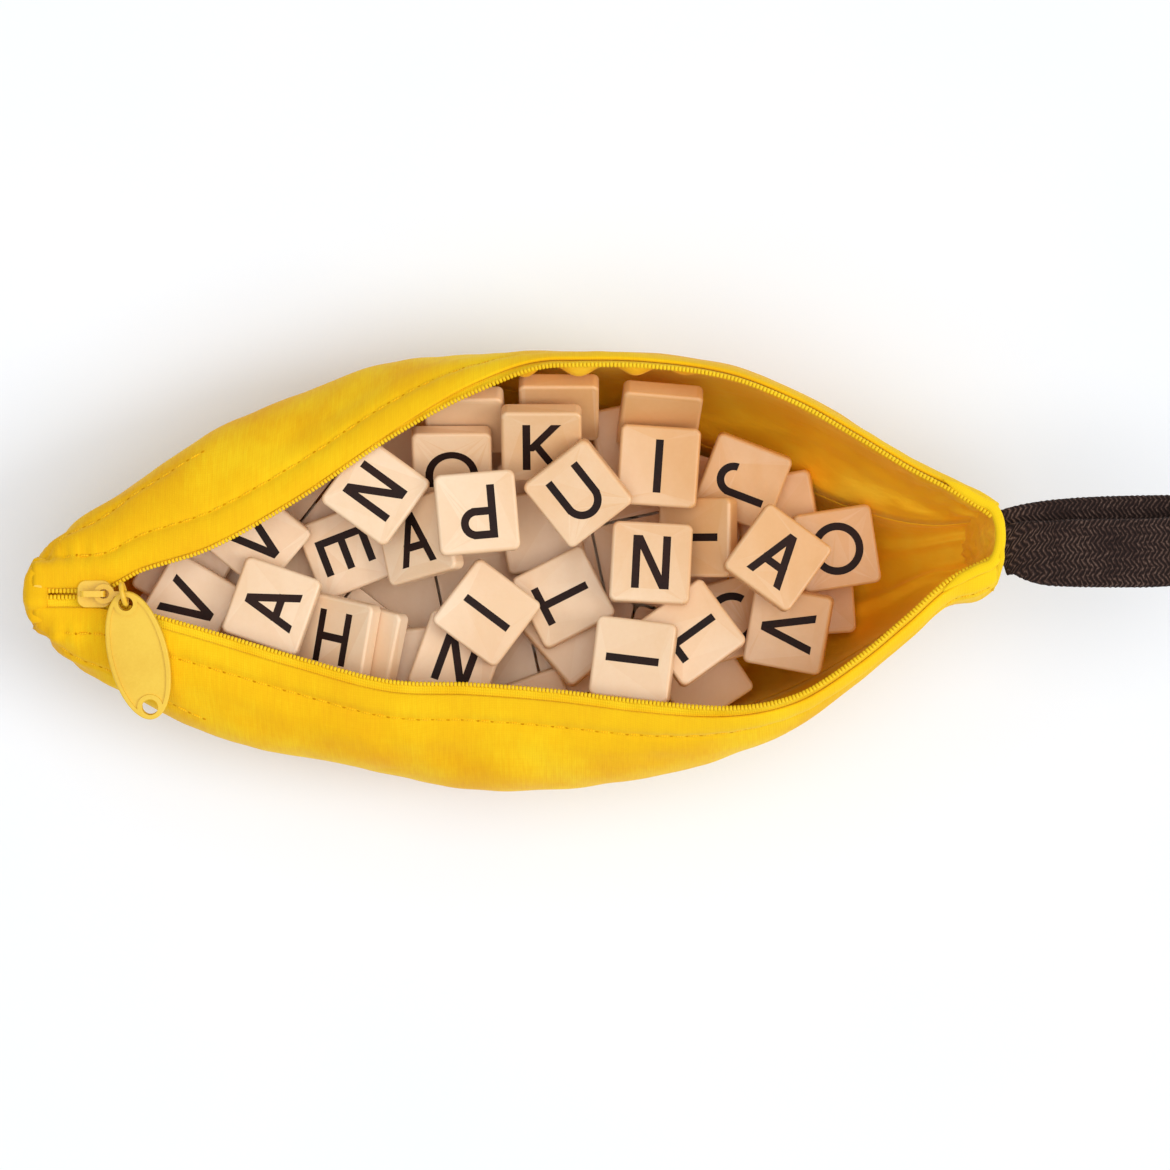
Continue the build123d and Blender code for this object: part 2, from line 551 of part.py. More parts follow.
# How high the hidden flat layers reach: x in 230ths of the length, height in 56ths of the rim's.
FILL = ((-117, 28.0), (-60, 26.0), (0, 24.0), (35, 20.0), (60, 18.0), (85, 6.0), (117, 0.0))
LAYER_TURNS = (0.0, 31.0, -17.0, 12.0, -38.0)


LEAN = 7.0  # degrees that a tile may lean further to lie lower
STEEP = 20.0  # degrees of tilt from which a tile keeps its tilt
START_HEIGHT = 1.1  # of the rim's height, from which tiles are lowered


class Block:
    """An oriented tile: its centre, its three axes and its half sizes."""

    def __init__(self, centre, axes, margin):
        half = (TILE_SIDE / 2, TILE_SIDE / 2, TILE_THICK / 2)
        self.centre, self.axes = centre, axes
        self.half = [h + margin for h in half]

    def corners(self):
        for a in (-1, 1):
            for b in (-1, 1):
                for c in (-1, 1):
                    signs = (a, b, c)
                    yield [
                        self.centre[k] + sum(s * h * axis[k] for s, h, axis in zip(signs, self.half, self.axes))
                        for k in range(3)
                    ]

    def radius_along(self, n):
        return sum(h * abs(dot(axis, n)) for h, axis in zip(self.half, self.axes))


def dot(a, b):
    return a[0] * b[0] + a[1] * b[1] + a[2] * b[2]


def cross(a, b):
    return (a[1] * b[2] - a[2] * b[1], a[2] * b[0] - a[0] * b[2], a[0] * b[1] - a[1] * b[0])


def apart(one, other):
    """Whether two oriented blocks are clear of each other."""
    between = [b - a for a, b in zip(one.centre, other.centre)]
    if math.hypot(*between) > 2 * math.hypot(*one.half):
        return True
    candidates = list(one.axes) + list(other.axes)
    candidates += [cross(a, b) for a in one.axes for b in other.axes]
    for n in candidates:
        size = math.hypot(*n)
        if size > 1e-6 and abs(dot(between, n)) > one.radius_along(n) + other.radius_along(n):
            return True
    return False


def turned_axes(turn, tilt, towards):
    """Axes of a tile turned by turn about its normal, its face tilted towards a direction."""
    place = Rot(0, 0, towards) * Rot(0, tilt, 0) * Rot(0, 0, turn - towards)
    plane = Plane(place)
    return [tuple(plane.x_dir), tuple(plane.y_dir), tuple(plane.z_dir)]


@lru_cache(maxsize=None)
def cavity_section(step):
    """The inside of the pouch at x = step millimetres, as a polygon open upwards."""
    x = max(TAIL_X, min(STEM_X, float(step)))
    depth = INNER_DEPTH + WALL_CLEARANCE
    points = [skin_point(x, 3 * i / 45, depth) for i in range(46)]
    lip = COIL_WIDTH / 2 + WALL_CLEARANCE
    near, far = skin_point(x, 0.0, depth, lip * -1), skin_point(x, 3.0, depth, lip * -1)
    ring = [(near.Y, 500.0), (near.Y, near.Z)] + [(p.Y, p.Z) for p in points]
    return ring + [(far.Y, far.Z), (far.Y, 500.0)]


def inside(point):
    x, y, z = point
    if not TAIL_X + 1 < x < STEM_X - 1:
        return False
    ring = cavity_section(round(x))
    odd = False
    for (y0, z0), (y1, z1) in zip(ring, ring[1:] + ring[:1]):
        if (z0 > z) != (z1 > z) and y < y0 + (z - z0) * (y1 - y0) / (z1 - z0):
            odd = not odd
    return odd


def settle(block, placed, start):
    """Lower a block from a start height until it is stopped; None if it is never free."""
    near = [other for other in placed if math.dist(other.centre[:2], block.centre[:2]) < 1.6 * TILE_SIDE]

    def free(height):
        block.centre = [block.centre[0], block.centre[1], height]
        return all(inside(c) for c in block.corners()) and all(apart(block, other) for other in near)

    resting, height = None, start
    for step in (1.6, 0.1):
        while height > 0:
            if free(height):
                resting = height
            elif resting is not None:
                break
            height -= step
        height = resting if resting is not None else 0.0
    if resting is not None:
        free(resting)
    return resting


def nestle(block, placed, turn, tilt, towards):
    """Settle a tile, leaning it a little further whichever way lets it lie lowest."""
    x, y = block.centre[:2]
    best = None
    leans = [(0.0, 0.0)] + [(LEAN, 60.0 * k) for k in range(6)] if tilt < STEEP else [(0.0, 0.0)]
    for lean, way in leans:
        a, b = math.radians(towards), math.radians(way)
        lean_x = tilt * math.cos(a) + lean * math.cos(b)
        lean_y = tilt * math.sin(a) + lean * math.sin(b)
        total, heading = math.hypot(lean_x, lean_y), math.degrees(math.atan2(lean_y, lean_x))
        trial = Block([x, y, 0.0], turned_axes(turn, total, heading), TILE_CLEARANCE / 2)
        height = settle(trial, placed, best.centre[2] if best else START_HEIGHT * RIM_HEIGHT)
        if height is not None and (best is None or height < best.centre[2] - 0.3):
            best = trial
    return best


def fill_height(x):
    unit_x, unit_z = UNITS[0], UNITS[7]
    for (x0, z0), (x1, z1) in zip(FILL, FILL[1:]):
        if x0 * unit_x <= x <= x1 * unit_x:
            return (z0 + (z1 - z0) * (x - x0 * unit_x) / ((x1 - x0) * unit_x)) * unit_z
    return 0.0


def hidden_layers():
    """Flat layers of tiles under the loose ones: one list of blocks for each layer."""
    layers = []
    reach = math.ceil(POUCH_LENGTH / 2 / GRID_PITCH) + 1
    for level in range(HIDDEN_LAYERS):
        turn = LAYER_TURNS[level % len(LAYER_TURNS)]
        c, s = math.cos(math.radians(turn)), math.sin(math.radians(turn))
        z = INNER_DEPTH + WALL_CLEARANCE + TILE_THICK / 2 + level * LAYER_PITCH
        layer = []
        for i in range(-reach, reach + 1):
            for j in range(-reach, reach + 1):
                u, v = (i + 0.5 * (level % 2)) * GRID_PITCH, (j + 0.3 * level) * GRID_PITCH
                block = Block([u * c - v * s, u * s + v * c, z], turned_axes(turn, 0, 0), TILE_CLEARANCE / 2)
                low_enough = z + TILE_THICK / 2 <= fill_height(block.centre[0])
                if low_enough and all(inside(corner) for corner in block.corners()):
                    layer.append(block)
        layers.append(layer)
    return layers


def place_loose(x, y, placed, turn, tilt, towards):
    """Nestle a tile at (x, y), or as near to there as the walls allow."""
    for _ in range(24):
        start = Block([x, y, 0.0], turned_axes(turn, tilt, towards), TILE_CLEARANCE / 2)
        block = nestle(start, placed, turn, tilt, towards)
        if block is not None:
            return block
        x, y = x * 0.99, y - math.copysign(0.5, y)
    return None


def block_location(block):
    return Location(Plane(origin=block.centre, x_dir=block.axes[0], z_dir=block.axes[2]))


def make_tiles():
    layers = hidden_layers()
    placed = [block for layer in layers for block in layer]
    plain = fillet(Box(TILE_SIDE, TILE_SIDE, TILE_THICK).edges().filter_by(Axis.Z), TILE_CORNER)
    for level, layer in enumerate(layers):
        nodes[f"tile_layer_{level + 1}"] = Compound([block_location(b) * plain for b in layer])
        print("layer", level + 1, "tiles", len(layer))
    loose, paint = [], []
    for name, letter, x, y, turn, tilt, towards in LOOSE:
        block = place_loose(x * UNITS[0], y * UNITS[1], placed, turn, tilt, towards)
        if block is None:
            print("left out", letter, x, y)
            continue
        placed.append(block)
        tile, ink = lettered_tile(letter)
        where = block_location(block)
        top = max(corner[2] for corner in block.corners())
        print("tile", name, letter, x, y, "z", round(block.centre[2], 1), "top", round(top, 1),
              "at", [round(c, 1) for c in block.centre])
        if name:
            nodes[f"tile_{name}"] = where * tile
            nodes[f"letter_{name}"] = where * ink
        else:
            loose.append(where * tile)
            if ink is not None:
                paint.append(where * ink)
    nodes["loose_tiles"] = Compound(loose)
    nodes["loose_letters"] = Compound(paint)


# ---------------------------------------------------------------- build
make_fabric()
make_end_caps()
make_pull(make_slider())
make_loop()
make_tiles()
os.makedirs("parts", exist_ok=True)
for node, shape in nodes.items():
    export_step(shape, f"parts/{node}.step")
print(len(nodes), "nodes")
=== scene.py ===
import json
import math
from bisect import bisect_right
import bpy
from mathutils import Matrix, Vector, noise


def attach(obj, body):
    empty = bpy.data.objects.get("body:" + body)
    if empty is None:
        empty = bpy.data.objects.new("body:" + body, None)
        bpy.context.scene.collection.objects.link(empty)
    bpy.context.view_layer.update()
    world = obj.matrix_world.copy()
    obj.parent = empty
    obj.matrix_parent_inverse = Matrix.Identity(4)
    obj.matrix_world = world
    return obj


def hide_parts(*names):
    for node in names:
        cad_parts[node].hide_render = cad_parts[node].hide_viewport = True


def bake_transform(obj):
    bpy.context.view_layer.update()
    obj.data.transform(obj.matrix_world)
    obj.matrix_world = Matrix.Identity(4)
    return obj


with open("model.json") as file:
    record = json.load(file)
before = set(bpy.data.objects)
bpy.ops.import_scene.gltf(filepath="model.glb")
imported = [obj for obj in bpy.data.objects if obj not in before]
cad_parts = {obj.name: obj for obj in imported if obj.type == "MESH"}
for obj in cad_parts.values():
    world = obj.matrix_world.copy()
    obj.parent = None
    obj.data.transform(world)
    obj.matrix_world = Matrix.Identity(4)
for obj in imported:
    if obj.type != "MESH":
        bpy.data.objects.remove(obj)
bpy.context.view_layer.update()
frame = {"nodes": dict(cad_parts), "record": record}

# Looks of a soft zipped pouch full of letter tiles. Shapes are worked out in millimetres, as in
# the part's source, and written in metres. +X runs from the slider to the webbing loop.
MM = 0.001

# -------- sizes shared with the frame
POUCH_LENGTH = 230.0
POUCH_WIDTH = 104.0
RIM_HEIGHT = 62.0
CANVAS = 1.0
LINING = 0.5
TAPE = 0.5
TAPE_SHOWN = 2.8
TAPE_WIDTH = 10.0
TAPE_SHARE = 0.6
COIL_WIDTH = 1.4
CHAIN_GAP = 0.3
ZIP_MIDDLE = -4.45
LINING_BACK = 1.6
LAYER_GAP = 0.1
END_CAP = 2.4
TAPE_DEPTH = CANVAS + LAYER_GAP
LINING_DEPTH = TAPE_DEPTH + TAPE + LAYER_GAP
CHAIN_DEPTH = TAPE_DEPTH + TAPE / 2
TAIL_X = -0.4935 * POUCH_LENGTH
STEM_X = 0.487 * POUCH_LENGTH
BELLY = 7.0
SOFTNESS = 1.2
LOOP_LENGTH = 54.0
LOOP_WIDTH = 16.0
WEBBING = 1.4
LOOP_GAP = 0.8

# -------- sizes of the looks
STEP = 1.15  # between the sections that a fabric piece is drawn through
STITCH_LINE = 8.5  # topstitch, from the teeth down the wall
STITCH_PITCH = 3.5
STITCH_LENGTH = 2.6
SEAM_STITCH = 2.8  # stitches beside the bottom seam, from the seam up the wall
THREAD = 0.24  # radius of the sewing thread
TOOTH_PITCH = 0.9
TOOTH_LENGTH = 0.74
TOOTH_WIDTH = 1.15
TOOTH_HEIGHT = 1.2
SLIDER_BACK = -103.0  # the slider's end towards the tail, where the teeth are closed
PIPING = 0.75  # radius of the seam's ridge
HEM_FAR = 1.0  # from the far teeth to the canvas, where the far wall rolls over its tape
HEM_ROLL = (-38, 2)  # x over which the far hem comes away from its teeth
KNEE = 13.0  # the canvas is finely divided from its hem down to here
PUCKER_PITCH = 6.2  # between the puckers along stitches and seams
GATHER_PITCH = 11.5  # between the lining's gathers under the rim
NEAR_GATHER, FAR_GATHER = 1.1, 2.7  # how far those gathers hang out
PLEAT_REACH = 11.0  # over which the pleats at the tail's tip fade
TAIL_PUCKER_PITCH = 4.2
TAIL_PUCKER_LINE = 9.0  # middle of the tail's puckers, down the wall
GUSSET_FADE = (-88, -72)  # x over which the tail's gusset seam fades
GUSSET_END = -76.0  # its last stitch
GUSSET_SHARE = 0.54  # where it runs, as a share of the wall's length
BINDING_START = 13.0  # the stem's rolled edge starts this far before the stem's end
TABLE_GAP = 0.02  # between the table and the bottom canvas, which lies flat below FLAT_BELOW
FLAT_BELOW = 0.6
YARN_PITCH = 1.15  # along the webbing's braid
BRAID_COLUMN = 1.9  # width of one column of the braid

NEAR_SHUT = ZIP_MIDDLE - (COIL_WIDTH + CHAIN_GAP) / 2
FAR_SHUT = ZIP_MIDDLE + (COIL_WIDTH + CHAIN_GAP) / 2
# The frame's stations, moved to the photograph's outline: the cloth lies up to 2.6 mm inside its
# solids where it sags, and 2 mm outside them at the tail's tip.
#  x      near rim, bulge, seam   far rim, bulge, seam   z rim, seam, keel   shoulder
STATIONS = (
    (-117, NEAR_SHUT, -9.5, -8.6, FAR_SHUT, 1.6, 0.6, 45.0, 38.0, 34.0, 0.0),
    (-107, NEAR_SHUT, -19.5, -18.8, FAR_SHUT, 9.2, 8.4, 45.0, 30.0, 23.0, 0.0),
    (-99, NEAR_SHUT, -24.1, -23.4, FAR_SHUT, 14.2, 13.4, 45.0, 28.0, 18.0, 0.0),
    (-88, -8.8, -29.8, -29.0, 1.2, 22.0, 21.2, 45.5, 25.0, 11.0, 0.02),
    (-72, -13.4, -37.3, -36.3, 6.4, 33.4, 32.4, 46.0, 22.0, 4.0, 0.05),
    (-52, -19.5, -42.0, -40.6, 17.6, 42.8, 41.2, 46.0, 19.0, -0.3, 0.1),
    (-30, -25.2, -47.8, -45.0, 32.4, 50.8, 47.6, 47.0, 17.0, -0.3, 0.12),
    (-10, -26.0, -50.3, -46.0, 43.5, 53.2, 48.2, 48.0, 15.0, -0.3, 0.15),
    (10, -27.6, -50.7, -45.7, 50.2, 52.3, 44.8, 49.0, 14.0, -0.3, 0.15),
    (30, -30.2, -48.0, -42.4, 50.0, 51.4, 39.7, 50.5, 14.0, -0.3, 0.2),
    (50, -32.0, -41.7, -36.1, 47.2, 47.9, 32.1, 52.0, 15.0, -0.3, 0.3),
    (66, -29.2, -35.9, -29.7, 41.0, 41.6, 25.1, 53.0, 18.0, 2.5, 0.4),
    (80, -20.4, -26.7, -22.0, 33.0, 33.7, 18.5, 54.5, 23.0, 8.5, 0.4),
    (92, -10.3, -17.0, -13.8, 25.7, 26.4, 14.8, 55.5, 28.0, 16.0, 0.4),
    (101, -2.2, -8.6, -6.7, 21.0, 22.1, 13.7, 56.0, 33.0, 24.0, 0.4),
    (109, 2.2, -6.0, -4.5, 16.0, 18.8, 14.3, 56.0, 38.0, 32.0, 0.4),
    (117, 6.0, 1.0, 1.6, 10.6, 14.4, 12.0, 56.0, 42.0, 38.0, 0.4),
)
UNITS = (POUCH_LENGTH / 230,) + (POUCH_WIDTH / 104,) * 6 + (RIM_HEIGHT / 56,) * 3 + (1.0,)
OUTLINE = [[value * unit for value, unit in zip(row, UNITS)] for row in STATIONS]
outline_cache = {}


# -------- the pouch's surface
def soft_floor(height):
    return (height + math.sqrt(height * height + SOFTNESS * SOFTNESS)) / 2


def outline(x):
    """The station values at x, on a smooth curve through every station."""
    if x in outline_cache:
        return outline_cache[x]
    rows = OUTLINE
    k = max(0, min(len(rows) - 2, sum(1 for row in rows[1:-1] if row[0] <= x)))
    low, high = rows[k], rows[k + 1]
    span = high[0] - low[0]
    t = (x - low[0]) / span

    def slope(i, column):
        before, here, after = rows[max(i - 1, 0)], rows[i], rows[min(i + 1, len(rows) - 1)]
        if (here[column] - before[column]) * (after[column] - here[column]) <= 0:
            return 0.0
        return (after[column] - before[column]) / (after[0] - before[0])

    values = []
    for column in range(1, len(low)):
        a, b = low[column], high[column]
        m, n = slope(k, column) * span, slope(k + 1, column) * span
        values.append(
            a * (2 * t**3 - 3 * t**2 + 1) + m * (t**3 - 2 * t**2 + t)
            + b * (3 * t**2 - 2 * t**3) + n * (t**3 - t**2)
        )
    outline_cache[x] = values
    return values


def bezier(a, b, c, d, t):
    return a * (1 - t) ** 3 + 3 * b * t * (1 - t) ** 2 + 3 * c * t * t * (1 - t) + d * t**3


def wall_point(x, t, far):
    """Y and Z on a wall's outer surface, from its rim at t = 0 to its seam at t = 1."""
    values = outline(x)
    rim, bulge, seam = values[3:6] if far else values[0:3]
    rim_z, seam_z, shoulder = values[6], values[7], values[9]
    reach = (bulge - (rim + seam) / 8) / 0.75
    drop = rim_z - seam_z
    y = bezier(rim, reach, reach, seam, t)
    z = bezier(rim_z, rim_z - shoulder * drop, rim_z - 0.8 * drop, seam_z, t)
    return y, z


def floor_point(x, t):
    """Y and Z on the floor's outer surface, from the near seam at t = 0 to the far one."""
    values = outline(x)
    near, far, seam_z, keel = values[2], values[5], values[7], values[8]
    middle = (near + far) / 2
    y = bezier(near, near + 0.1 * (middle - near), far + 0.1 * (middle - far), far, t)
    belly = BELLY * max(0.0, 1 - soft_floor(keel) / 6)
    low = (keel - belly - seam_z / 4) / 0.75
    z = bezier(seam_z, low, low, seam_z, t)
    return y, keel + soft_floor(z - keel)


def outer_point(x, v):
    """The outer surface: v runs from the near rim 0 to the seams 1 and 2 to the far rim 3."""
    if v <= 1:
        return Vector((x, *wall_point(x, v, False)))
    if v >= 2:
        return Vector((x, *wall_point(x, 3 - v, True)))
    return Vector((x, *floor_point(x, v - 1)))


def skin_frame(x, v):
    """The point at (x, v) with the inward normal and the direction out past the rim."""
    dx, dv = 0.5, 0.02
    p = outer_point(x, v)
    low, high = max(v - dv, 0.0), min(v + dv, 3.0)
    along = outer_point(x + dx, v) - outer_point(x - dx, v)
    across = outer_point(x, high) - outer_point(x, low)
    inward = along.cross(across).normalized()
    past = along.normalized().cross(inward).normalized()
    return p, inward, past if v < 1.5 else -past


def skin_point(x, v, depth):
    p, inward, _ = skin_frame(x, v)
    return p + inward * depth


class Wall:
    """One wall's section at x, measured over the fabric from the rim down."""

    def __init__(self, x, far):
        self.x, self.far = x, far
        count = 120
        points = [wall_point(x, i / count, far) for i in range(count + 1)]
        self.reach = [0.0]
        for a, b in zip(points, points[1:]):
            self.reach.append(self.reach[-1] + math.dist(a, b))
        self.length = self.reach[-1]

    def share(self, distance):
        """The t at a distance from the rim."""
        reach = self.reach
        distance = max(0.0, min(distance, self.length))
        low = min(bisect_right(reach, distance), len(reach) - 1) - 1
        piece = reach[low + 1] - reach[low]
        return (low + (distance - reach[low]) / piece) / (len(reach) - 1)

    def point(self, distance, depth):
        t = self.share(distance)
        return skin_point(self.x, 3 - t if self.far else t, depth)


wall_cache = {}


def wall_at(x, far):
    key = (round(x, 4), far)
    if key not in wall_cache:
        wall_cache[key] = Wall(x, far)
    return wall_cache[key]


def steps(low, high, step=STEP):
    count = max(2, math.ceil((high - low) / step))
    return [low + (high - low) * i / count for i in range(count + 1)]


def hump(value, middle, width):
    return math.exp(-(((value - middle) / width) ** 2))


def blend_in(value, low, high):
    t = max(0.0, min(1.0, (value - low) / (high - low)))
    return t * t * (3 - 2 * t)


def wander(x, y, seed, scale):
    """Smooth noise from -1 to 1."""
    return noise.noise(Vector((x / scale + seed * 7.3, y / scale - seed * 3.1, seed * 1.7)))


# -------- how the fabric lies
# Millimetres by which the canvas stands proud or dips at each of its features.
HEM_RISE = 0.62
STITCH_DIP = 0.34
BELOW_STITCH_RISE = 0.5
SAG, SWEEP, CREASE = 1.7, 1.25, 0.4
SEAM_DIP, SEAM_STITCH_DIP, GUSSET_DIP = 0.7, 0.3, 0.4
STITCH_PUCKER, SEAM_PUCKER, TAIL_PUCKER = 0.1, 0.2, 0.6
TAIL_PLEAT, STEM_PLEAT = 0.7, 0.4


def tail_pleats(x, s, far):
    """Pleats that run from the tail's tip along the fabric, and puckers across its wall."""
    from_tip = x - TAIL_X
    lean = 0.35 * s + (1.9 if far else 0.4)
    along = TAIL_PLEAT * math.exp(-from_tip / PLEAT_REACH)
    along *= math.sin(lean * 2.1 + 0.05 * from_tip)
    along *= blend_in(s, 2.5, 6)
    phase = 2 * math.pi * x / TAIL_PUCKER_PITCH + 2.4 * wander(x, s, 61, 5)
    across = math.sin(phase) * hump(s, TAIL_PUCKER_LINE, 2.8)
    return along + TAIL_PUCKER * across * hump(from_tip, 0, 15)


def gusset_line(length):
    """Where the gusset's seam runs near the tail, measured down a wall."""
    return GUSSET_SHARE * length


def gusset_share(x):
    return 1 - blend_in(x, *GUSSET_FADE)


def side_name(far):
    return "far" if far else "near"


def hem_start(x, far):
    """From the teeth to the canvas fold: the far wall rolls over its tape near the tail."""
    return HEM_FAR + (TAPE_SHOWN - HEM_FAR) * blend_in(x, *HEM_ROLL) if far else TAPE_SHOWN


def wall_puff(x, s, length, far):
    """How far the outer canvas stands proud at s millimetres down the wall."""
    side = 3 if far else 1
    seam = length - s
    low = hem_start(x, far)
    open_share = blend_in(length, 12, 26)
    roll = math.sin(math.pi * max(0.0, min(1.0, (s - low) / (STITCH_LINE - low))))
    out = HEM_RISE * roll * (0.8 + 0.45 * wander(x, s, side + 4, 12))
    out -= STITCH_DIP * hump(s, STITCH_LINE, 0.9) * open_share
    below = BELOW_STITCH_RISE * hump(s, STITCH_LINE + 4.5, 3.2)
    out += below * (0.7 + 0.8 * wander(x, s, side + 1, 16))
    body = blend_in(s, STITCH_LINE, STITCH_LINE + 9) * blend_in(seam, 1.5, 10)
    sweep = wander(0.8 * x + 1.1 * s, 0.3 * s - 0.4 * x, side, 24)
    out += body * (SAG * wander(x, 0.7 * s, side + 6, 34) + SWEEP * sweep)
    out += body * CREASE * wander(x - 0.5 * s, 0.5 * s, side + 2, 9)
    pucker = math.sin(2 * math.pi * x / PUCKER_PITCH + 2.2 * wander(x, 0, side + 8, 25))
    out += STITCH_PUCKER * pucker * math.exp(-abs(s - STITCH_LINE) / 2.4) * open_share
    out += SEAM_PUCKER * pucker * math.exp(-seam / 4.5)
    out -= SEAM_DIP * hump(seam, 0.0, 1.5)
    out -= SEAM_STITCH_DIP * hump(seam, SEAM_STITCH, 0.8) * open_share
    out -= GUSSET_DIP * hump(s, gusset_line(length), 0.8) * gusset_share(x)
    out += tail_pleats(x, s, far)
    stem = math.exp(-(STEM_X - x) / 9)
    out += STEM_PLEAT * stem * math.sin(0.8 * s + side)
    return out


def floor_puff(x, t, width):
    """How far the bottom canvas stands proud; nothing where it rests on the table."""
    edge = min(t, 1 - t) * width
    out = -SEAM_DIP * hump(edge, 0.0, 1.5)
    pucker = math.sin(2 * math.pi * x / PUCKER_PITCH)
    out += SEAM_PUCKER * pucker * math.exp(-edge / 4.5)
    out += 0.8 * wander(x, t * width, 11, 26) * blend_in(edge, 2, 9)
    out += TAIL_PLEAT * math.exp(-(x - TAIL_X) / PLEAT_REACH) * math.sin(0.75 * t * width)
    return out


# -------- mesh helpers
def add_piece(name, points, faces, uvs, material, body):
    mesh = bpy.data.meshes.new(name)
    mesh.from_pydata([[c * MM for c in p] for p in points], [], faces)
    if uvs:
        layer = mesh.uv_layers.new(name="UVMap")
        for loop in mesh.loops:
            layer.data[loop.index].uv = uvs[loop.vertex_index]
    mesh.polygons.foreach_set("use_smooth", [True] * len(mesh.polygons))
    mesh.materials.append(material)
    mesh.validate()
    mesh.update()
    piece = bpy.data.objects.new(name, mesh)
    bpy.context.scene.collection.objects.link(piece)
    if body:
        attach(piece, body)
    return piece


def loft(name, sections, material, body, along=None):
    """A closed skin over closed sections of equal count, its ends filled."""
    count = len(sections[0])
    points = [p for section in sections for p in section]
    faces, uvs = [], []
    for i in range(len(sections) - 1):
        for j in range(count):
            a, b = i * count + j, i * count + (j + 1) % count
            faces.append((a, a + count, b + count, b))
    faces.append(tuple(range(count)))
    faces.append(tuple(reversed(range(len(points) - count, len(points)))))
    for i, section in enumerate(sections):
        u = along[i] if along else section[0][0]
        reach = 0.0
        for j, p in enumerate(section):
            if j:
                reach += (Vector(p) - Vector(section[j - 1])).length
            uvs.append((u * MM, reach * MM))
    return add_piece(name, points, faces, uvs, material, body)


# -------- materials
def srgb(red, green, blue):
    def linear(c):
        c /= 255
        return c / 12.92 if c <= 0.04045 else ((c + 0.055) / 1.055) ** 2.4

    return (linear(red), linear(green), linear(blue), 1.0)


class Shader:
    """A material with its Principled shader and short calls for the nodes that feed it."""

    def __init__(self, name):
        self.material = bpy.data.materials.new(name)
        self.material.use_nodes = True
        self.tree = self.material.node_tree
        self.shader = self.tree.nodes["Principled BSDF"]
        self.object = self.tree.nodes.new("ShaderNodeTexCoord").outputs["Object"]
        self.uv = None

    def link(self, source, target):
        self.tree.links.new(source, target)

    def set(self, **values):
        for name, value in values.items():
            self.shader.inputs[name.replace("_", " ")].default_value = value

    def use_uv(self):
        if self.uv is None:
            self.uv = self.tree.nodes.new("ShaderNodeUVMap")
            self.uv.uv_map = "UVMap"
        return self.uv.outputs["UV"]

    def scaled(self, vector, scale, turn=0.0):
        node = self.tree.nodes.new("ShaderNodeMapping")
        node.inputs["Scale"].default_value = scale
        node.inputs["Rotation"].default_value = (0, 0, math.radians(turn))
        self.link(vector, node.inputs["Vector"])
        return node.outputs["Vector"]

    def noise(self, vector, scale, detail=3.0, rough=0.55, distortion=0.0):
        node = self.tree.nodes.new("ShaderNodeTexNoise")
        node.inputs["Scale"].default_value = scale
        node.inputs["Detail"].default_value = detail
        node.inputs["Roughness"].default_value = rough
        node.inputs["Distortion"].default_value = distortion
        self.link(vector, node.inputs["Vector"])
        return node.outputs["Fac"]

    def wave(self, vector, scale, direction, distortion=0.0, detail_scale=1.0):
        node = self.tree.nodes.new("ShaderNodeTexWave")
        node.wave_type = "BANDS"
        node.bands_direction = direction
        node.inputs["Scale"].default_value = scale
        node.inputs["Distortion"].default_value = distortion
        node.inputs["Detail"].default_value = 2.0
        node.inputs["Detail Scale"].default_value = detail_scale
        self.link(vector, node.inputs["Vector"])
        return node.outputs["Fac"]

    def math(self, operation, a, b=None, clamp=False):
        node = self.tree.nodes.new("ShaderNodeMath")
        node.operation = operation
        node.use_clamp = clamp
        for socket, value in zip(node.inputs, (a, b)):
            if value is None:
                continue
            if isinstance(value, (int, float)):
                socket.default_value = value
            else:
                self.link(value, socket)
        return node.outputs["Value"]

    def add(self, a, b):
        return self.math("ADD", a, b)

    def multiply(self, a, b):
        return self.math("MULTIPLY", a, b)

    def ramp(self, value, stops):
        node = self.tree.nodes.new("ShaderNodeValToRGB")
        elements = node.color_ramp.elements
        while len(elements) < len(stops):
            elements.new(0.5)
        for element, (place, colour) in zip(elements, stops):
            element.position = place
            element.color = colour if not isinstance(colour, (int, float)) else (colour,) * 3 + (1,)
        self.link(value, node.inputs["Fac"])
        return node.outputs["Color"]

    def mix(self, share, a, b):
        node = self.tree.nodes.new("ShaderNodeMix")
        node.data_type = "RGBA"
        colours = [socket for socket in node.inputs if socket.type == "RGBA"]
        factor = [socket for socket in node.inputs if socket.type == "VALUE"][0]
        for socket, value in zip((factor, *colours), (share, a, b)):
            if isinstance(value, (int, float, tuple)):
                socket.default_value = value
            else:
                self.link(value, socket)
        return [socket for socket in node.outputs if socket.type == "RGBA"][0]

    def split(self, vector):
        node = self.tree.nodes.new("ShaderNodeSeparateXYZ")
        self.link(vector, node.inputs["Vector"])
        return node.outputs

    def bump(self, height, strength, distance, normal=None):
        node = self.tree.nodes.new("ShaderNodeBump")
        node.inputs["Strength"].default_value = strength
        node.inputs["Distance"].default_value = distance
        self.link(height, node.inputs["Height"])
        if normal is not None:
            self.link(normal, node.inputs["Normal"])
        return node.outputs["Normal"]

    def finish(self, colour=None, normal=None, roughness=None):
        for source, name in ((colour, "Base Color"), (normal, "Normal"), (roughness, "Roughness")):
            if source is not None:
                self.link(source, self.shader.inputs[name])
        return self.material


def bands(pitch):
    """The band texture's scale for one band every pitch millimetres."""
    return math.pi / 10 / (pitch * MM)


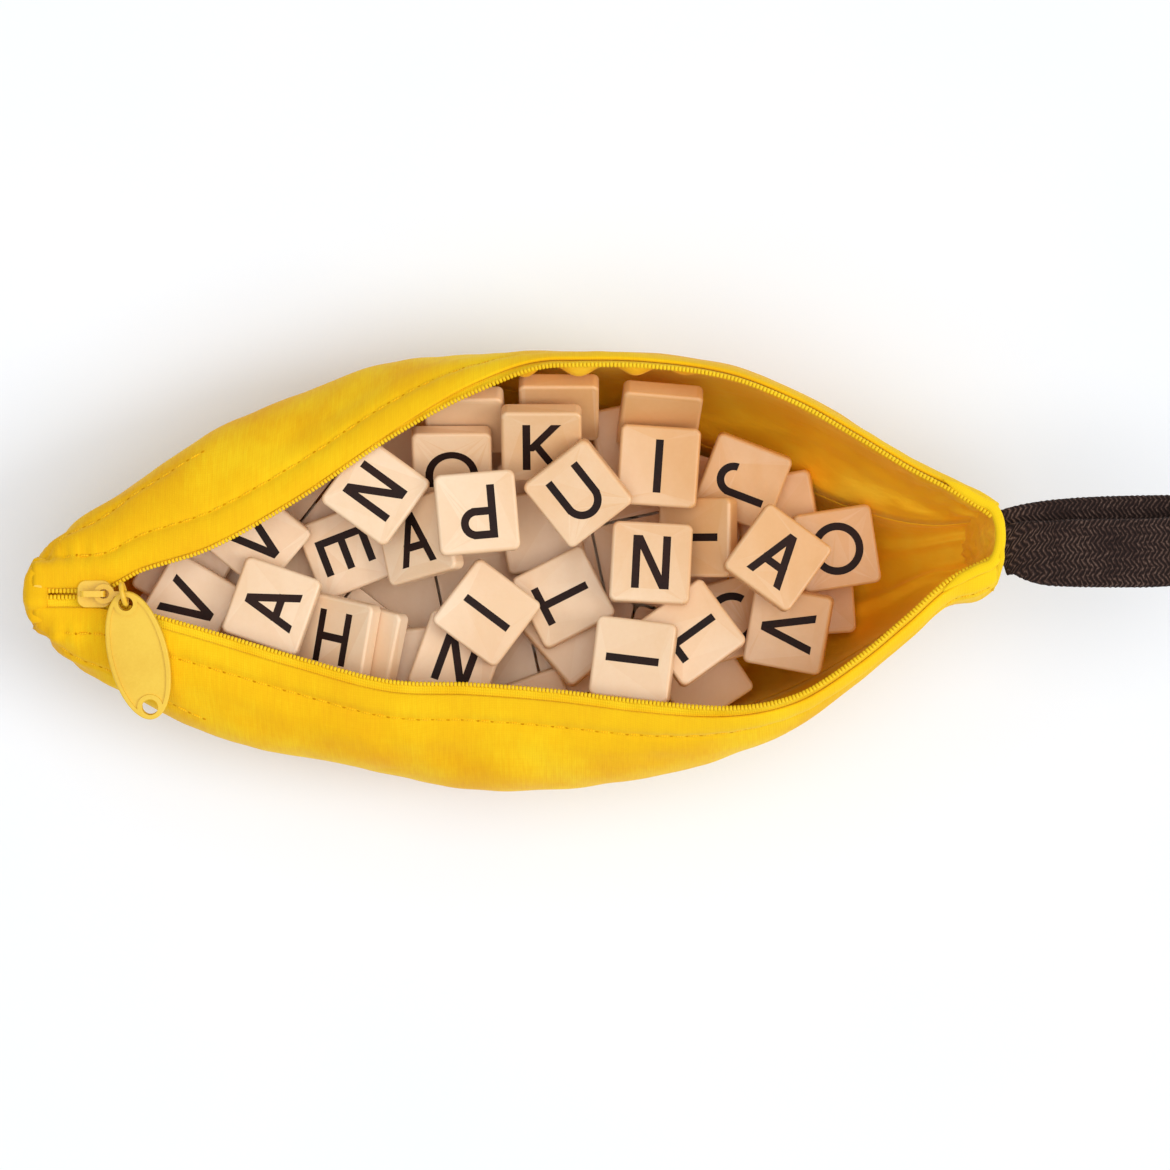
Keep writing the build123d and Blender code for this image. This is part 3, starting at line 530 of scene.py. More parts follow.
def canvas_material():
    """Plain weave with thick and thin yarns, short pale slubs and broad tonal patches, with a painted
    highlight that makes the canvas paler near the top of the pouch.
    """
    s = Shader("yellow_canvas")
    s.set(Sheen_Weight=0.3, Sheen_Roughness=0.4, Sheen_Tint=(1.0, 0.8, 0.3, 1.0), Specular_IOR_Level=0.15)
    uv = s.use_uv()
    warp = s.wave(uv, bands(0.55), "X", 0.9, 1.5)
    weft = s.wave(uv, bands(0.55), "Y", 0.9, 1.5)
    weave = s.multiply(warp, weft)
    yarns = s.multiply(s.add(warp, weft), 0.25)
    crossing = s.add(s.multiply(weave, 0.6), yarns)
    down = s.noise(s.scaled(uv, (1500.0, 190.0, 1.0)), 1.0, 2.0, 0.5)
    along = s.noise(s.scaled(uv, (150.0, 1500.0, 1.0)), 1.0, 2.0, 0.5)
    slub = s.add(s.multiply(down, 0.72), s.multiply(along, 0.28))
    patches = s.noise(s.object, 30.0, 3.0, 0.55)
    tone = s.add(s.multiply(patches, 0.74), s.multiply(slub, 0.26))
    colour = s.ramp(tone, ((0.38, srgb(231, 162, 2)), (0.5, srgb(239, 180, 4)), (0.63, srgb(247, 203, 22))))
    # Painted highlight: the colour is mixed towards a paler yellow from about 43 mm up to 62 mm above the
    # table, for the light that falls on the rims.
    height = s.split(s.object)[2]
    rim = s.ramp(s.multiply(height, 1 / (70 * MM)), ((0.62, 0.0), (0.88, 0.8)))
    colour = s.mix(rim, colour, srgb(246, 208, 26))
    shaded = s.mix(s.ramp(crossing, ((0.1, 0.14), (0.5, 0.0))), colour, srgb(222, 156, 2))
    cloth = s.add(s.multiply(crossing, 0.5), s.multiply(slub, 0.5))
    normal = s.bump(cloth, 0.4, 0.00016)
    creases = s.noise(s.object, 110.0, 3.0, 0.5)
    normal = s.bump(creases, 0.35, 0.0009, normal)
    return s.finish(shaded, normal, s.ramp(patches, ((0.3, 0.78), (0.7, 0.92))))


def lining_material():
    """Thin smooth lining: fine weave, soft creases and a tone that is brighter and darker in broad random
    patches.
    """
    s = Shader("orange_lining")
    s.set(Metallic=0.5, Sheen_Weight=0.7, Sheen_Roughness=0.5, Sheen_Tint=(1.0, 0.6, 0.1, 1.0))
    uv = s.use_uv()
    weave = s.multiply(s.wave(uv, bands(0.3), "X", 0.4), s.wave(uv, bands(0.3), "Y", 0.4))
    patches = s.noise(s.object, 42.0, 4.0, 0.6)
    colour = s.ramp(
        patches, ((0.34, srgb(255, 188, 12)), (0.52, srgb(255, 200, 26)), (0.68, srgb(255, 212, 46)))
    )
    creases = s.noise(s.scaled(uv, (60.0, 160.0, 1.0), 20), 1.0, 4.0, 0.62, 0.6)
    normal = s.bump(weave, 0.3, 0.00008)
    normal = s.bump(creases, 0.4, 0.001, normal)
    return s.finish(colour, normal, s.ramp(patches, ((0.3, 0.5), (0.7, 0.65))))


def tape_material():
    s = Shader("yellow_zip_tape")
    s.set(Sheen_Weight=0.05, Sheen_Roughness=0.4, Specular_IOR_Level=0.15)
    uv = s.use_uv()
    rib = s.wave(uv, bands(0.42), "X", 0.3)
    line = s.wave(uv, bands(0.62), "Y", 0.5)
    height = s.add(s.multiply(rib, 0.6), s.multiply(line, 0.5))
    patches = s.noise(s.object, 60.0, 3.0)
    colour = s.ramp(patches, ((0.35, srgb(240, 192, 12)), (0.6, srgb(247, 208, 30))))
    shaded = s.mix(s.ramp(height, ((0.2, 0.25), (0.6, 0.0))), colour, srgb(228, 168, 6))
    return s.finish(shaded, s.bump(height, 0.6, 0.00015), s.ramp(patches, ((0.3, 0.7), (0.7, 0.88))))


def webbing_material():
    """Flat braid: narrow columns of slanted yarns that turn back at each column's edge, painted lighter on
    the yarns' ridges and darker in the grooves as light and shade, with worn and random patches.
    """
    s = Shader("brown_webbing")
    s.set(Sheen_Weight=0.04, Sheen_Roughness=0.4, Specular_IOR_Level=0.12)
    uv = s.use_uv()
    worn = s.noise(s.scaled(uv, (520.0, 520.0, 1.0)), 1.0, 3.0, 0.6)
    u, v, _ = s.split(uv)
    column = s.math("PINGPONG", s.multiply(v, 1 / (BRAID_COLUMN * MM)), 1.0)
    slant = s.add(s.multiply(u, 1 / (YARN_PITCH * MM)), s.multiply(column, 1.25))
    slant = s.add(slant, s.multiply(worn, 0.9))
    rib = s.multiply(s.math("PINGPONG", slant, 0.5), 2.0)
    strands = s.noise(s.scaled(uv, (2400.0, 1100.0, 1.0)), 1.0, 2.0)
    patches = s.noise(s.object, 85.0, 3.0)
    # Painted light and shade: the colour follows the braid's ridges, as the bump does, times worn and
    # random patches.
    ridge_light_and_wear = s.multiply(rib, s.multiply(strands, s.add(worn, patches)))
    colour = s.ramp(ridge_light_and_wear, ((0.1, srgb(30, 20, 18)), (0.34, srgb(56, 39, 34)), (0.62, srgb(106, 85, 75))))
    height = s.add(s.multiply(rib, 0.8), s.multiply(strands, 0.4))
    return s.finish(colour, s.bump(height, 0.8, 0.0004), s.ramp(strands, ((0.3, 0.7), (0.7, 0.9))))


def moulded(name, light, dark, roughness, speckle, bump, coat=0.0, gloss=0.5):
    """Moulded or painted surface with faint mottling and fine grain."""
    s = Shader(name)
    s.set(Coat_Weight=coat, Coat_Roughness=0.2, Specular_IOR_Level=gloss)
    cloud = s.noise(s.object, 55.0, 4.0, 0.6)
    grain = s.noise(s.object, 1500.0, 3.0, 0.6)
    tone = s.add(s.multiply(cloud, 1 - speckle), s.multiply(grain, speckle))
    colour = s.ramp(tone, ((0.38, dark), (0.62, light)))
    normal = s.bump(grain, bump, 0.00006)
    normal = s.bump(cloud, 0.06, 0.0008, normal)
    low, high = roughness
    return s.finish(colour, normal, s.ramp(cloud, ((0.3, low), (0.7, high))))


def tile_material():
    """Warm ivory plastic that differs a little from tile to tile, with hairline scuffs in its gloss, and an
    orange copy of its colour mixed in as painted shade and bounce light towards the back right of the pile.
    """
    s = Shader("ivory_tile")
    s.set(Subsurface_Weight=0.04, Subsurface_Scale=0.0015, Specular_IOR_Level=0.6)
    s.shader.inputs["Subsurface Radius"].default_value = (1.0, 0.42, 0.16)
    cloud = s.noise(s.object, 34.0, 3.0, 0.5)
    grain = s.noise(s.object, 900.0, 3.0, 0.6)
    tone = s.add(s.multiply(cloud, 0.85), s.multiply(grain, 0.15))
    # The tiles' lit colour, and an orange copy of it that is painted shade and painted bounce light from
    # the lining.
    pale = s.ramp(tone, ((0.36, srgb(233, 199, 160)), (0.64, srgb(240, 213, 182))))
    painted_orange_shade = s.ramp(tone, ((0.36, srgb(215, 160, 100)), (0.64, srgb(224, 174, 117))))
    geometry = s.tree.nodes.new("ShaderNodeNewGeometry").outputs
    # Painted shade: the orange copy is mixed in more towards the back right (+x, +y) of the pile, and a
    # little at random from tile to tile.
    x, y, _ = s.split(s.object)
    across = s.add(s.multiply(x, 1 / (60 * MM)), s.multiply(y, 1 / (50 * MM)))
    across = s.math("SUBTRACT", across, 0.2, clamp=True)
    batch = s.multiply(geometry["Random Per Island"], 0.3)
    share = s.math("ADD", batch, s.multiply(across, 0.8), clamp=True)
    colour = s.mix(share, pale, painted_orange_shade)
    scuffs = s.noise(s.scaled(s.object, (420.0, 60.0, 420.0), 31), 1.0, 4.0, 0.65)
    normal = s.bump(grain, 0.12, 0.00005, geometry["True Normal"])
    normal = s.bump(scuffs, 0.1, 0.00008, normal)
    normal = s.bump(cloud, 0.12, 0.0006, normal)
    return s.finish(colour, normal, s.ramp(scuffs, ((0.35, 0.34), (0.65, 0.48))))


def letter_material():
    return moulded("dark_letter_paint", srgb(44, 25, 20), srgb(24, 13, 10), (0.5, 0.65),
                   speckle=0.3, bump=0.3, gloss=0.12)


def pull_material():
    return moulded("yellow_pull_enamel", srgb(232, 192, 62), srgb(222, 178, 44), (0.4, 0.55),
                   speckle=0.25, bump=0.3, coat=0.1, gloss=0.3)


def slider_material():
    return moulded("yellow_slider_paint", srgb(240, 198, 62), srgb(230, 178, 34), (0.34, 0.5),
                   speckle=0.2, bump=0.2, coat=0.2, gloss=0.35)


def teeth_material():
    return moulded("yellow_zip_teeth", srgb(245, 204, 30), srgb(238, 192, 18), (0.5, 0.65),
                   speckle=0.2, bump=0.25, gloss=0.2)


# Painted shade: darker canvas colours for the shade inside the needle holes.
def hole_shade_material():
    return moulded("needle_hole_shade", srgb(218, 152, 4), srgb(200, 132, 2), (0.8, 0.95),
                   speckle=0.4, bump=0.4, gloss=0.05)


def thread_material():
    s = Shader("yellow_thread")
    s.set(Sheen_Weight=0.05, Specular_IOR_Level=0.15)
    twist = s.wave(s.scaled(s.object, (1.0, 0.4, 0.4), 35), bands(0.5), "X", 0.5)
    # Painted light and shade: the thread is lighter on the ridges of its twist and darker in its grooves,
    # as its bump.
    colour = s.ramp(twist, ((0.2, srgb(238, 174, 6)), (0.8, srgb(252, 202, 20))))
    return s.finish(colour, s.bump(twist, 0.5, 0.0001), s.ramp(twist, ((0.0, 0.85), (1.0, 0.7))))


CANVAS_LOOK = canvas_material()
LINING_LOOK = lining_material()
TAPE_LOOK = tape_material()
WEBBING_LOOK = webbing_material()
THREAD_LOOK = thread_material()
TEETH_LOOK = teeth_material()
HOLE_SHADE_LOOK = hole_shade_material()


# -------- fabric pieces
def hem_section(wall, low, thickness, depth, puff, samples):
    """A closed section of a cloth with a rounded top edge at `low` from the rim."""
    half = thickness / 2
    outer, inner = [], []
    for distance in samples:
        t = wall.share(distance)
        v = 3 - t if wall.far else t
        p, inward, _ = skin_frame(wall.x, v)
        out = puff(wall.x, distance, wall.length)
        outer.append(p + inward * (depth - out))
        inner.append(p + inward * (depth + thickness))
    edge = []
    for k in range(1, 6):
        a = math.pi * k / 6
        edge.append(wall.point(low - half * math.sin(a), depth + half * (1 + math.cos(a))))
    return inner[::-1] + edge + outer, outer


def make_canvas_wall(far):
    side = side_name(far)
    sections, rows = [], []
    fine_count, coarse_count = 16, 34
    for x in steps(TAIL_X, STEM_X):
        wall = wall_at(x, far)
        low, knee = hem_start(x, far), min(KNEE, 0.62 * wall.length)
        samples = [low + (knee - low) * k / fine_count for k in range(fine_count)]
        samples += [knee + (wall.length - knee) * k / coarse_count for k in range(coarse_count + 1)]
        section, outer = hem_section(
            wall, low, CANVAS, 0.0, lambda x, s, length: wall_puff(x, s, length, far), samples
        )
        sections.append(section)
        rows.append(outer)
    piece = loft(f"canvas_{side}", sections, CANVAS_LOOK, "pouch", steps(TAIL_X, STEM_X))
    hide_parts(f"{side}_side_panel")


def floor_sections(start, count, skins):
    """Sections across the floor, where skins gives the outer and the inner point at each place."""
    sections, rows = [], []
    for x in steps(start, STEM_X):
        outer, inner = [], []
        width = abs(outline(x)[5] - outline(x)[2])
        for k in range(count + 1):
            p, inward, _ = skin_frame(x, 1 + k / count)
            outside, inside = skins(x, p, inward, k / count, width)
            outer.append(outside)
            inner.append(inside)
        sections.append(inner[::-1] + outer)
        rows.append(outer)
    return sections, rows


def make_canvas_bottom():
    def skins(x, p, inward, t, width):
        q = p - inward * floor_puff(x, t, width)
        if q.z < TABLE_GAP or p.z < FLAT_BELOW:
            q = Vector((p.x, p.y, max(p.z, TABLE_GAP)))
        return q, p + inward * CANVAS

    sections, rows = floor_sections(TAIL_X, 72, skins)
    piece = loft("canvas_bottom", sections, CANVAS_LOOK, "pouch", steps(TAIL_X, STEM_X))
    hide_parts("bottom_panel")


def seam_ridge(far):
    """The welt where a wall meets the bottom: a thin puckered roll along the seam."""
    v = 2.0 if far else 1.0
    sections = []
    for x in steps(TAIL_X + 0.6, STEM_X - 0.6):
        p, inward, past = skin_frame(x, v)
        pucker = math.sin(2 * math.pi * x / PUCKER_PITCH + v)
        radius = PIPING * (1 + 0.16 * pucker + 0.2 * wander(x, 0, 21, 8))
        centre = p - inward * 0.1
        ring = []
        for k in range(10):
            a = 2 * math.pi * k / 10
            offset = inward * math.cos(a) * radius * 0.9 + past * math.sin(a) * radius * 1.25
            ring.append(centre + offset)
        sections.append(ring)
    loft(f"{side_name(far)}_seam_welt", sections, CANVAS_LOOK, "pouch")


def make_lining_wall(far):
    low = TAPE_SHOWN + LINING_BACK
    start = TAIL_X + 0.4

    def slack(x, s, length):
        """How far the lining hangs inwards: gathers under the rim, creases near the stem."""
        gather = 0.5 + 0.5 * math.sin(2 * math.pi * x / GATHER_PITCH + 2.6 * wander(x, s, 31, 30))
        hang = (FAR_GATHER if far else NEAR_GATHER) * (1 - 0.8 * blend_in(x, 22, 48))
        depth = hang * gather * hump(s, low + 3.0, 2.4)
        depth += 0.35 + 0.35 * wander(x + s, s, 33, 9)
        crinkle = abs(wander(x, 0.3 * s, 35, 3.2)) + 0.6 * abs(wander(x + 0.6 * s, s, 36, 5))
        depth += 1.3 * crinkle * blend_in(x, 84, 104) * blend_in(s, 4, 8)
        fold = wander(x * 0.35, s + 0.2 * x, 37, 7)
        depth += 0.8 * max(0.0, fold) * blend_in(x, 56, 80) * blend_in(s, 6, 12)
        return depth * blend_in(s, low, low + 1.5) * blend_in(length - s, 0, 3)

    sections, rows = [], []
    columns = 44
    for x in steps(start, STEM_X - 0.5):
        wall = wall_at(x, far)
        top = min(low, 0.8 * wall.length)
        samples = [top + (wall.length - top) * (k / columns) ** 1.35 for k in range(columns + 1)]
        outer, inner = [], []
        for distance in samples:
            t = wall.share(distance)
            p, inward, _ = skin_frame(x, 3 - t if far else t)
            outer.append(p + inward * LINING_DEPTH)
            inner.append(p + inward * (LINING_DEPTH + LINING + slack(x, distance, wall.length)))
        sections.append(inner[::-1] + outer)
        rows.append(outer)
    side = side_name(far)
    piece = loft(f"lining_{side}", sections, LINING_LOOK, "pouch", steps(start, STEM_X - 0.5))
    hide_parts(f"{side}_lining")


def make_lining_bottom():
    start = TAIL_X + 0.4

    def skins(x, p, inward, t, width):
        """Two loose ridges and small creases lift the lining near the stem."""
        ridge = 1.3 * hump(t, 0.36 + 0.03 * wander(x, 0, 41, 20), 0.05)
        ridge += 1.1 * hump(t, 0.68 + 0.04 * wander(x, 5, 42, 20), 0.06)
        lift = ridge * blend_in(x, 66, 90) + 0.4 * wander(x, t * width, 43, 8) * blend_in(x, 55, 80)
        lift *= blend_in(min(t, 1 - t) * width, 0, 3)
        inside = p + inward * (LINING_DEPTH + LINING + max(0.0, lift))
        return p + inward * LINING_DEPTH, inside

    sections, rows = floor_sections(start, 64, skins)
    piece = loft("lining_bottom", sections, LINING_LOOK, "pouch", steps(start, STEM_X))
    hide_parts("bottom_lining")


def make_tape(far):
    low = TOOTH_WIDTH / 2 - 0.1
    start = TAIL_X + 0.2

    def ripple(x, s, _):
        return 0.12 * math.sin(2 * math.pi * x / 7.0) * hump(s, low, 1.2)

    sections, rows = [], []
    for x in steps(start, STEM_X):
        wall = wall_at(x, far)
        high = min(TAPE_WIDTH, TAPE_SHARE * wall.length)
        samples = [low + (high - low) * k / 10 for k in range(11)]
        section, outer = hem_section(wall, low, TAPE, TAPE_DEPTH, ripple, samples)
        sections.append(section)
        rows.append(outer)
    side = side_name(far)
    piece = loft(f"zip_tape_{side}", sections, TAPE_LOOK, "pouch", steps(start, STEM_X))
    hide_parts(f"{side}_zip_tape")


# -------- teeth and stitches
def rounded_ring(width, height, corner, count):
    """Points round a rounded rectangle, count + 1 at each corner."""
    ring = []
    for sx, sy, start in ((1, 1, 0), (-1, 1, 90), (-1, -1, 180), (1, -1, 270)):
        for k in range(count + 1):
            a = math.radians(start + 90 * k / count)
            ring.append((sx * (width / 2 - corner) + corner * math.cos(a),
                         sy * (height / 2 - corner) + corner * math.sin(a)))
    return ring


def close_rings(points, faces, base, count):
    """Faces round a stack of rings that starts at point number base, with both ends filled."""
    rings = (len(points) - base) // count
    for i in range(rings - 1):
        for j in range(count):
            a, b = base + i * count + j, base + i * count + (j + 1) % count
            faces.append((a, b, b + count, a + count))
    faces.append(tuple(reversed(range(base, base + count))))
    faces.append(tuple(range(len(points) - count, len(points))))


def tooth_at(x, v, ring, points, faces):
    """One turn of the zip's coil: a rounded loop across the tape's edge."""
    p, inward, past = skin_frame(x, v)
    along = past.cross(inward).normalized()
    centre = p + inward * CHAIN_DEPTH
    base = len(points)
    wide = 1 + (COIL_WIDTH / TOOTH_WIDTH - 1) * (1 - blend_in(x, SLIDER_BACK, SLIDER_BACK + 3))
    for place, size in ((-0.5, 0.7), (-0.34, 0.94), (0.0, 1.0), (0.34, 0.94), (0.5, 0.7)):
        for a, b in ring:
            offset = past * (a * size * wide) + inward * (b * size)
            points.append(centre + along * (place * TOOTH_LENGTH) + offset)
    close_rings(points, faces, base, len(ring))


def make_coil(far):
    v = 3.0 if far else 0.0
    points, faces = [], []
    ring = rounded_ring(TOOTH_WIDTH, TOOTH_HEIGHT, 0.42, 3)
    x = TAIL_X + 0.6 + (TOOTH_PITCH / 2 if far else 0.0)
    while x < STEM_X - 0.8:
        tooth_at(x, v, ring, points, faces)
        here, ahead = outer_point(x, v), outer_point(x + 0.5, v)
        x += TOOTH_PITCH * 0.5 / (ahead - here).length
    side = side_name(far)
    piece = add_piece(f"zip_teeth_{side}", points, faces, None, TEETH_LOOK, "pouch")
    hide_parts(f"{side}_zip_coil")


def capsule(start, end, up, radius, points, faces):
    """A stitch: a short thread that dips into the cloth at both ends."""
    along = (end - start).normalized()
    side = along.cross(up).normalized()
    base, count = len(points), 6
    for place, size in ((0.0, 0.35), (0.12, 0.85), (0.35, 1.0), (0.65, 1.0), (0.88, 0.85), (1.0, 0.35)):
        lift = math.sin(math.pi * place) * radius * 0.9 - radius * 0.6
        centre = start.lerp(end, place) + up * lift
        for k in range(count):
            a = 2 * math.pi * k / count
            points.append(centre + side * math.cos(a) * radius * size + up * math.sin(a) * radius * size)
    close_rings(points, faces, base, count)


def dimple(centre, up, along, points, faces):
    """A needle hole: a small dip where two stitches meet, coloured dark as painted shade."""
    side = along.cross(up).normalized()
    base, count = len(points), 8
    for rise, size in ((-0.3, 0.6), (0.03, 1.0), (0.07, 0.7), (0.08, 0.2)):
        for k in range(count):
            a = 2 * math.pi * k / count
            arm = along * math.cos(a) * 0.46 + side * math.sin(a) * 0.34
            points.append(centre + arm * size + up * rise)
    close_rings(points, faces, base, count)


def make_stitches(far, name, line_at, first, last):
    """A row of stitches along the line that line_at gives down the wall, with its needle holes in painted
    shade.
    """
    threads, thread_faces, holes, hole_faces = [], [], [], []

    def cloth(x):
        wall = wall_at(x, far)
        line = line_at(wall.length)
        t = wall.share(line)
        p, inward, _ = skin_frame(x, 3 - t if far else t)
        return p - inward * wall_puff(x, line, wall.length, far), -inward

    x = first
    while x < last:
        (start, up), (end, _) = cloth(x), cloth(x + STITCH_LENGTH)
        gap, gap_up = cloth(x + (STITCH_LENGTH + STITCH_PITCH) / 2)
        capsule(start, end, up, THREAD, threads, thread_faces)
        dimple(gap, gap_up, (end - start).normalized(), holes, hole_faces)
        x += STITCH_PITCH
    add_piece(name + "_thread", threads, thread_faces, None, THREAD_LOOK, "pouch")
    add_piece(name + "_hole_shade", holes, hole_faces, None, HOLE_SHADE_LOOK, "pouch")


def rim_row(length):
    return min(STITCH_LINE, 0.5 * length)


def seam_row(length):
    return length - SEAM_STITCH


# -------- the pouch's ends
def section_at(x, count):
    """Points round the pouch at x, from the near rim down and round to the far rim."""
    base = [outer_point(x, 3 * k / (count - 1)) for k in range(count)]
    middle = Vector((x, sum(p.y for p in base) / count, sum(p.z for p in base) / count))
    return base, middle


# The rings that close an end: how far past the end each lies, and its size beside the last section.
TAIL_PROFILE = (
    (-3.4, 0.97), (-2.4, 1.03), (0.0, 1.06), (0.8, 1.03),
    (1.6, 0.93), (2.1, 0.78), (2.4, 0.5), (2.4, 0.2),
)
STEM_PROFILE = (
    (-0.7, 0.99), (-0.35, 1.02), (0.0, 1.03), (0.2, 1.0),
    (0.4, 0.94), (0.5, 0.84), (0.55, 0.5), (0.55, 0.2),
)


def end_cap(name, node, end_x, sign, profile, pleats, bow):
    """The gathered end of the canvas: the last section rounded over, with soft pleats."""
    count = 120
    base, middle = section_at(end_x, count)
    half = max(abs(p.y - middle.y) for p in base)
    sections = []
    for place, size in profile:
        section = []
        for k, p in enumerate(base):
            pleat = 1 + pleats * math.sin(2 * math.pi * k * 11 / count + 0.6) * min(1, 2 * size)
            arm = (p - middle) * size * pleat
            edge = max(0.0, 1 - (arm.y / half) ** 2)
            out = place * (0.4 + 0.6 * edge) if place > 0 else place
            bulge = bow * edge * blend_in(place, -0.4, 0.2)
            section.append(Vector((end_x + sign * (out + bulge), middle.y + arm.y, middle.z + arm.z)))
        sections.append(section)
    if sign < 0:
        sections = [section[::-1] for section in sections]
    piece = loft(name, sections, CANVAS_LOOK, "pouch", [s[0][0] for s in sections])
    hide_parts(node)


def lining_y(x, z, far):
    """Where the lining's inner face is at height z on a wall."""
    points = []
    for k in range(25):
        p, inward, _ = skin_frame(x, 3 - k / 24 if far else k / 24)
        points.append(p + inward * (LINING_DEPTH + LINING))
    for a, b in zip(points, points[1:]):
        if a.z >= z >= b.z:
            return a.y + (b.y - a.y) * (a.z - z) / max(1e-6, a.z - b.z)
    return points[0].y if z > points[0].z else points[-1].y


def stem_lining():
    """The lining's crumpled slope inside the stem, from the rim down to the bottom."""
    rows, columns = 26, 30
    slope, drop, thickness = 5.2, 27.0, 0.4
    sections = []
    for i in range(rows + 1):
        r = i / rows
        x = STEM_X - 0.9 - slope * r ** 1.4
        z = outline(x)[6] - 1.0 - drop * r
        near, far = lining_y(x, z, False) - 0.5, lining_y(x, z, True) + 0.5
        section = []
        for k in range(columns + 1):
            y = near + (far - near) * k / columns
            inside = min(1.0, 4 * min(k, columns - k) / columns)
            fold = 1.1 * abs(wander(y, 0.5 * z, 51, 3.0)) + 0.6 * wander(y, z, 52, 1.7)
            edge = 0.8 * (1 - inside)
            section.append(Vector((x - fold * inside * blend_in(r, 0.0, 0.15) - edge, y, z)))
        sections.append(section)
    back = [[p + Vector((thickness, 0, -0.1)) for p in section] for section in sections]
    closed = [a + b[::-1] for a, b in zip(sections, back)]
    loft("lining_stem_end", closed, LINING_LOOK, "pouch", [s[0][2] for s in closed])


def stem_binding():
    """The rolled edge that runs on from one zip tape to the other round the stem's mouth."""
    turn_x, tip = STEM_X - 4.0, STEM_X + 0.35
    values = outline(turn_x)
    middle, half = (values[0] + values[3]) / 2, (values[3] - values[0]) / 2
    straight = steps(STEM_X - BINDING_START, turn_x, 0.6)
    path = [Vector((x, outline(x)[3], outline(x)[6])) for x in straight[:-1]]
    for k in range(25):
        a = math.pi * k / 24
        x = turn_x + (tip - turn_x) * math.sin(a) ** 0.85
        path.append(Vector((x, middle + half * math.cos(a), outline(x)[6])))
    path += [Vector((x, outline(x)[0], outline(x)[6])) for x in straight[-2::-1]]
    for _ in range(3):
        inside = [(a + 2 * b + c) / 4 for a, b, c in zip(path, path[1:], path[2:])]
        path = [path[0]] + inside + [path[-1]]
    sections, along, reach = [], [], 0.0
    for i, p in enumerate(path):
        a, b = path[max(i - 1, 0)], path[min(i + 1, len(path) - 1)]
        direction = (b - a).normalized()
        side = direction.cross(Vector((0, 0, 1))).normalized()
        if i:
            reach += (p - path[i - 1]).length
        share = min(i, len(path) - 1 - i) / 8
        size = blend_in(share, -0.3, 1.0) * (1 + 0.08 * wander(reach, 0, 71, 2.2))
        ring = []
        for k in range(14):
            t = 2 * math.pi * k / 14
            out, up = 1.25 * size * math.cos(t), 0.85 * size * math.sin(t) - 0.35
            ring.append(p + side * out + Vector((0, 0, up)))
        sections.append(ring)
        along.append(reach)
    loft("stem_binding", sections, CANVAS_LOOK, "pouch", along)


# -------- webbing loop
STRAP_ROOT = STEM_X + 0.6
STRAP_FOLD = STEM_X + LAYER_GAP + END_CAP + LOOP_GAP + LOOP_LENGTH - 4.4
STRAP_RUN = 108.0  # out along the lower run and back to the stem
FOLD_SHARE = 0.06  # share of the strap on each side of the fold's middle
FOLD_REACH, FOLD_HEIGHT = 3.6, 3.9
FOLD_MIDDLE, FOLD_SWING = 1.43, 2.43  # the fold's middle across, and how far it slants
PINCH, SPREAD = 0.74, 3.16  # from the strap's middle to a run at its root, and what it gains


def strap_path(share):
    """Middle of the strap in the loop: out along the lower run, round the fold and back."""
    values = outline(STEM_X)
    root_y, root_z = (values[0] + values[3]) / 2 - 1.8, values[6] - 7.5
    if abs(share - 0.5) < FOLD_SHARE:
        a = (share - 0.5) / FOLD_SHARE * math.pi / 2
        y = root_y + FOLD_MIDDLE - FOLD_SWING * math.sin(a)
        return Vector((STRAP_FOLD + FOLD_REACH * math.cos(a), y, root_z + FOLD_HEIGHT * math.sin(a)))
    upper = share > 0.5
    run = min(share, 1 - share) / (0.5 - FOLD_SHARE)
    x = STRAP_ROOT + (STRAP_FOLD - STRAP_ROOT) * run
    spread = PINCH + SPREAD * math.sin(math.pi / 2 * min(1.0, 1.25 * run))
    if upper:
        fan = -1.9 * blend_in(run, 0.0, 0.24) + 0.9 * blend_in(run, 0.6, 1.0)
    else:
        fan = 3.9 * (1 - math.exp(-4.5 * run))
    return Vector((x, root_y + fan, root_z + (spread if upper else -spread)))


def make_strap():
    count, columns = 190, 26
    half = LOOP_WIDTH / 2
    path = [strap_path(i / count) for i in range(count + 1)]
    sections, along, reach, rows = [], [], 0.0, []
    for i, p in enumerate(path):
        a, b = path[max(i - 1, 0)], path[min(i + 1, count)]
        direction = (b - a).normalized()
        across = Vector((0, 1, 0))
        across = (across - direction * across.dot(direction)).normalized()
        up = direction.cross(across)
        if i:
            reach += (p - path[i - 1]).length
        root = 1 - 0.07 * math.exp(-min(reach, STRAP_RUN - reach) / 5)
        width = half * root * (1 + 0.012 * math.sin(2 * math.pi * reach / YARN_PITCH))
        ring = []
        for side in (1, -1):
            for k in range(columns + 1):
                y = math.sin(math.pi / 2 * (-1 + 2 * k / columns)) * side
                thick = WEBBING / 2 * (1 + 0.3 * hump(abs(y), 0.9, 0.08))
                thick *= math.sqrt(max(0.06, 1 - abs(y) ** 14))
                thick *= 1 + 0.07 * math.cos(y * half * 2 * math.pi / BRAID_COLUMN)
                cup = 0.5 * y * y * math.sin(math.pi * i / count)
                ring.append(p + across * (y * width) + up * (side * thick + cup))
        sections.append(ring)
        along.append(reach)
        rows.append(ring[:columns + 1])
    piece = loft("webbing_strap", sections, WEBBING_LOOK, None, along)
    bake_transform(piece)
    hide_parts("webbing_loop")


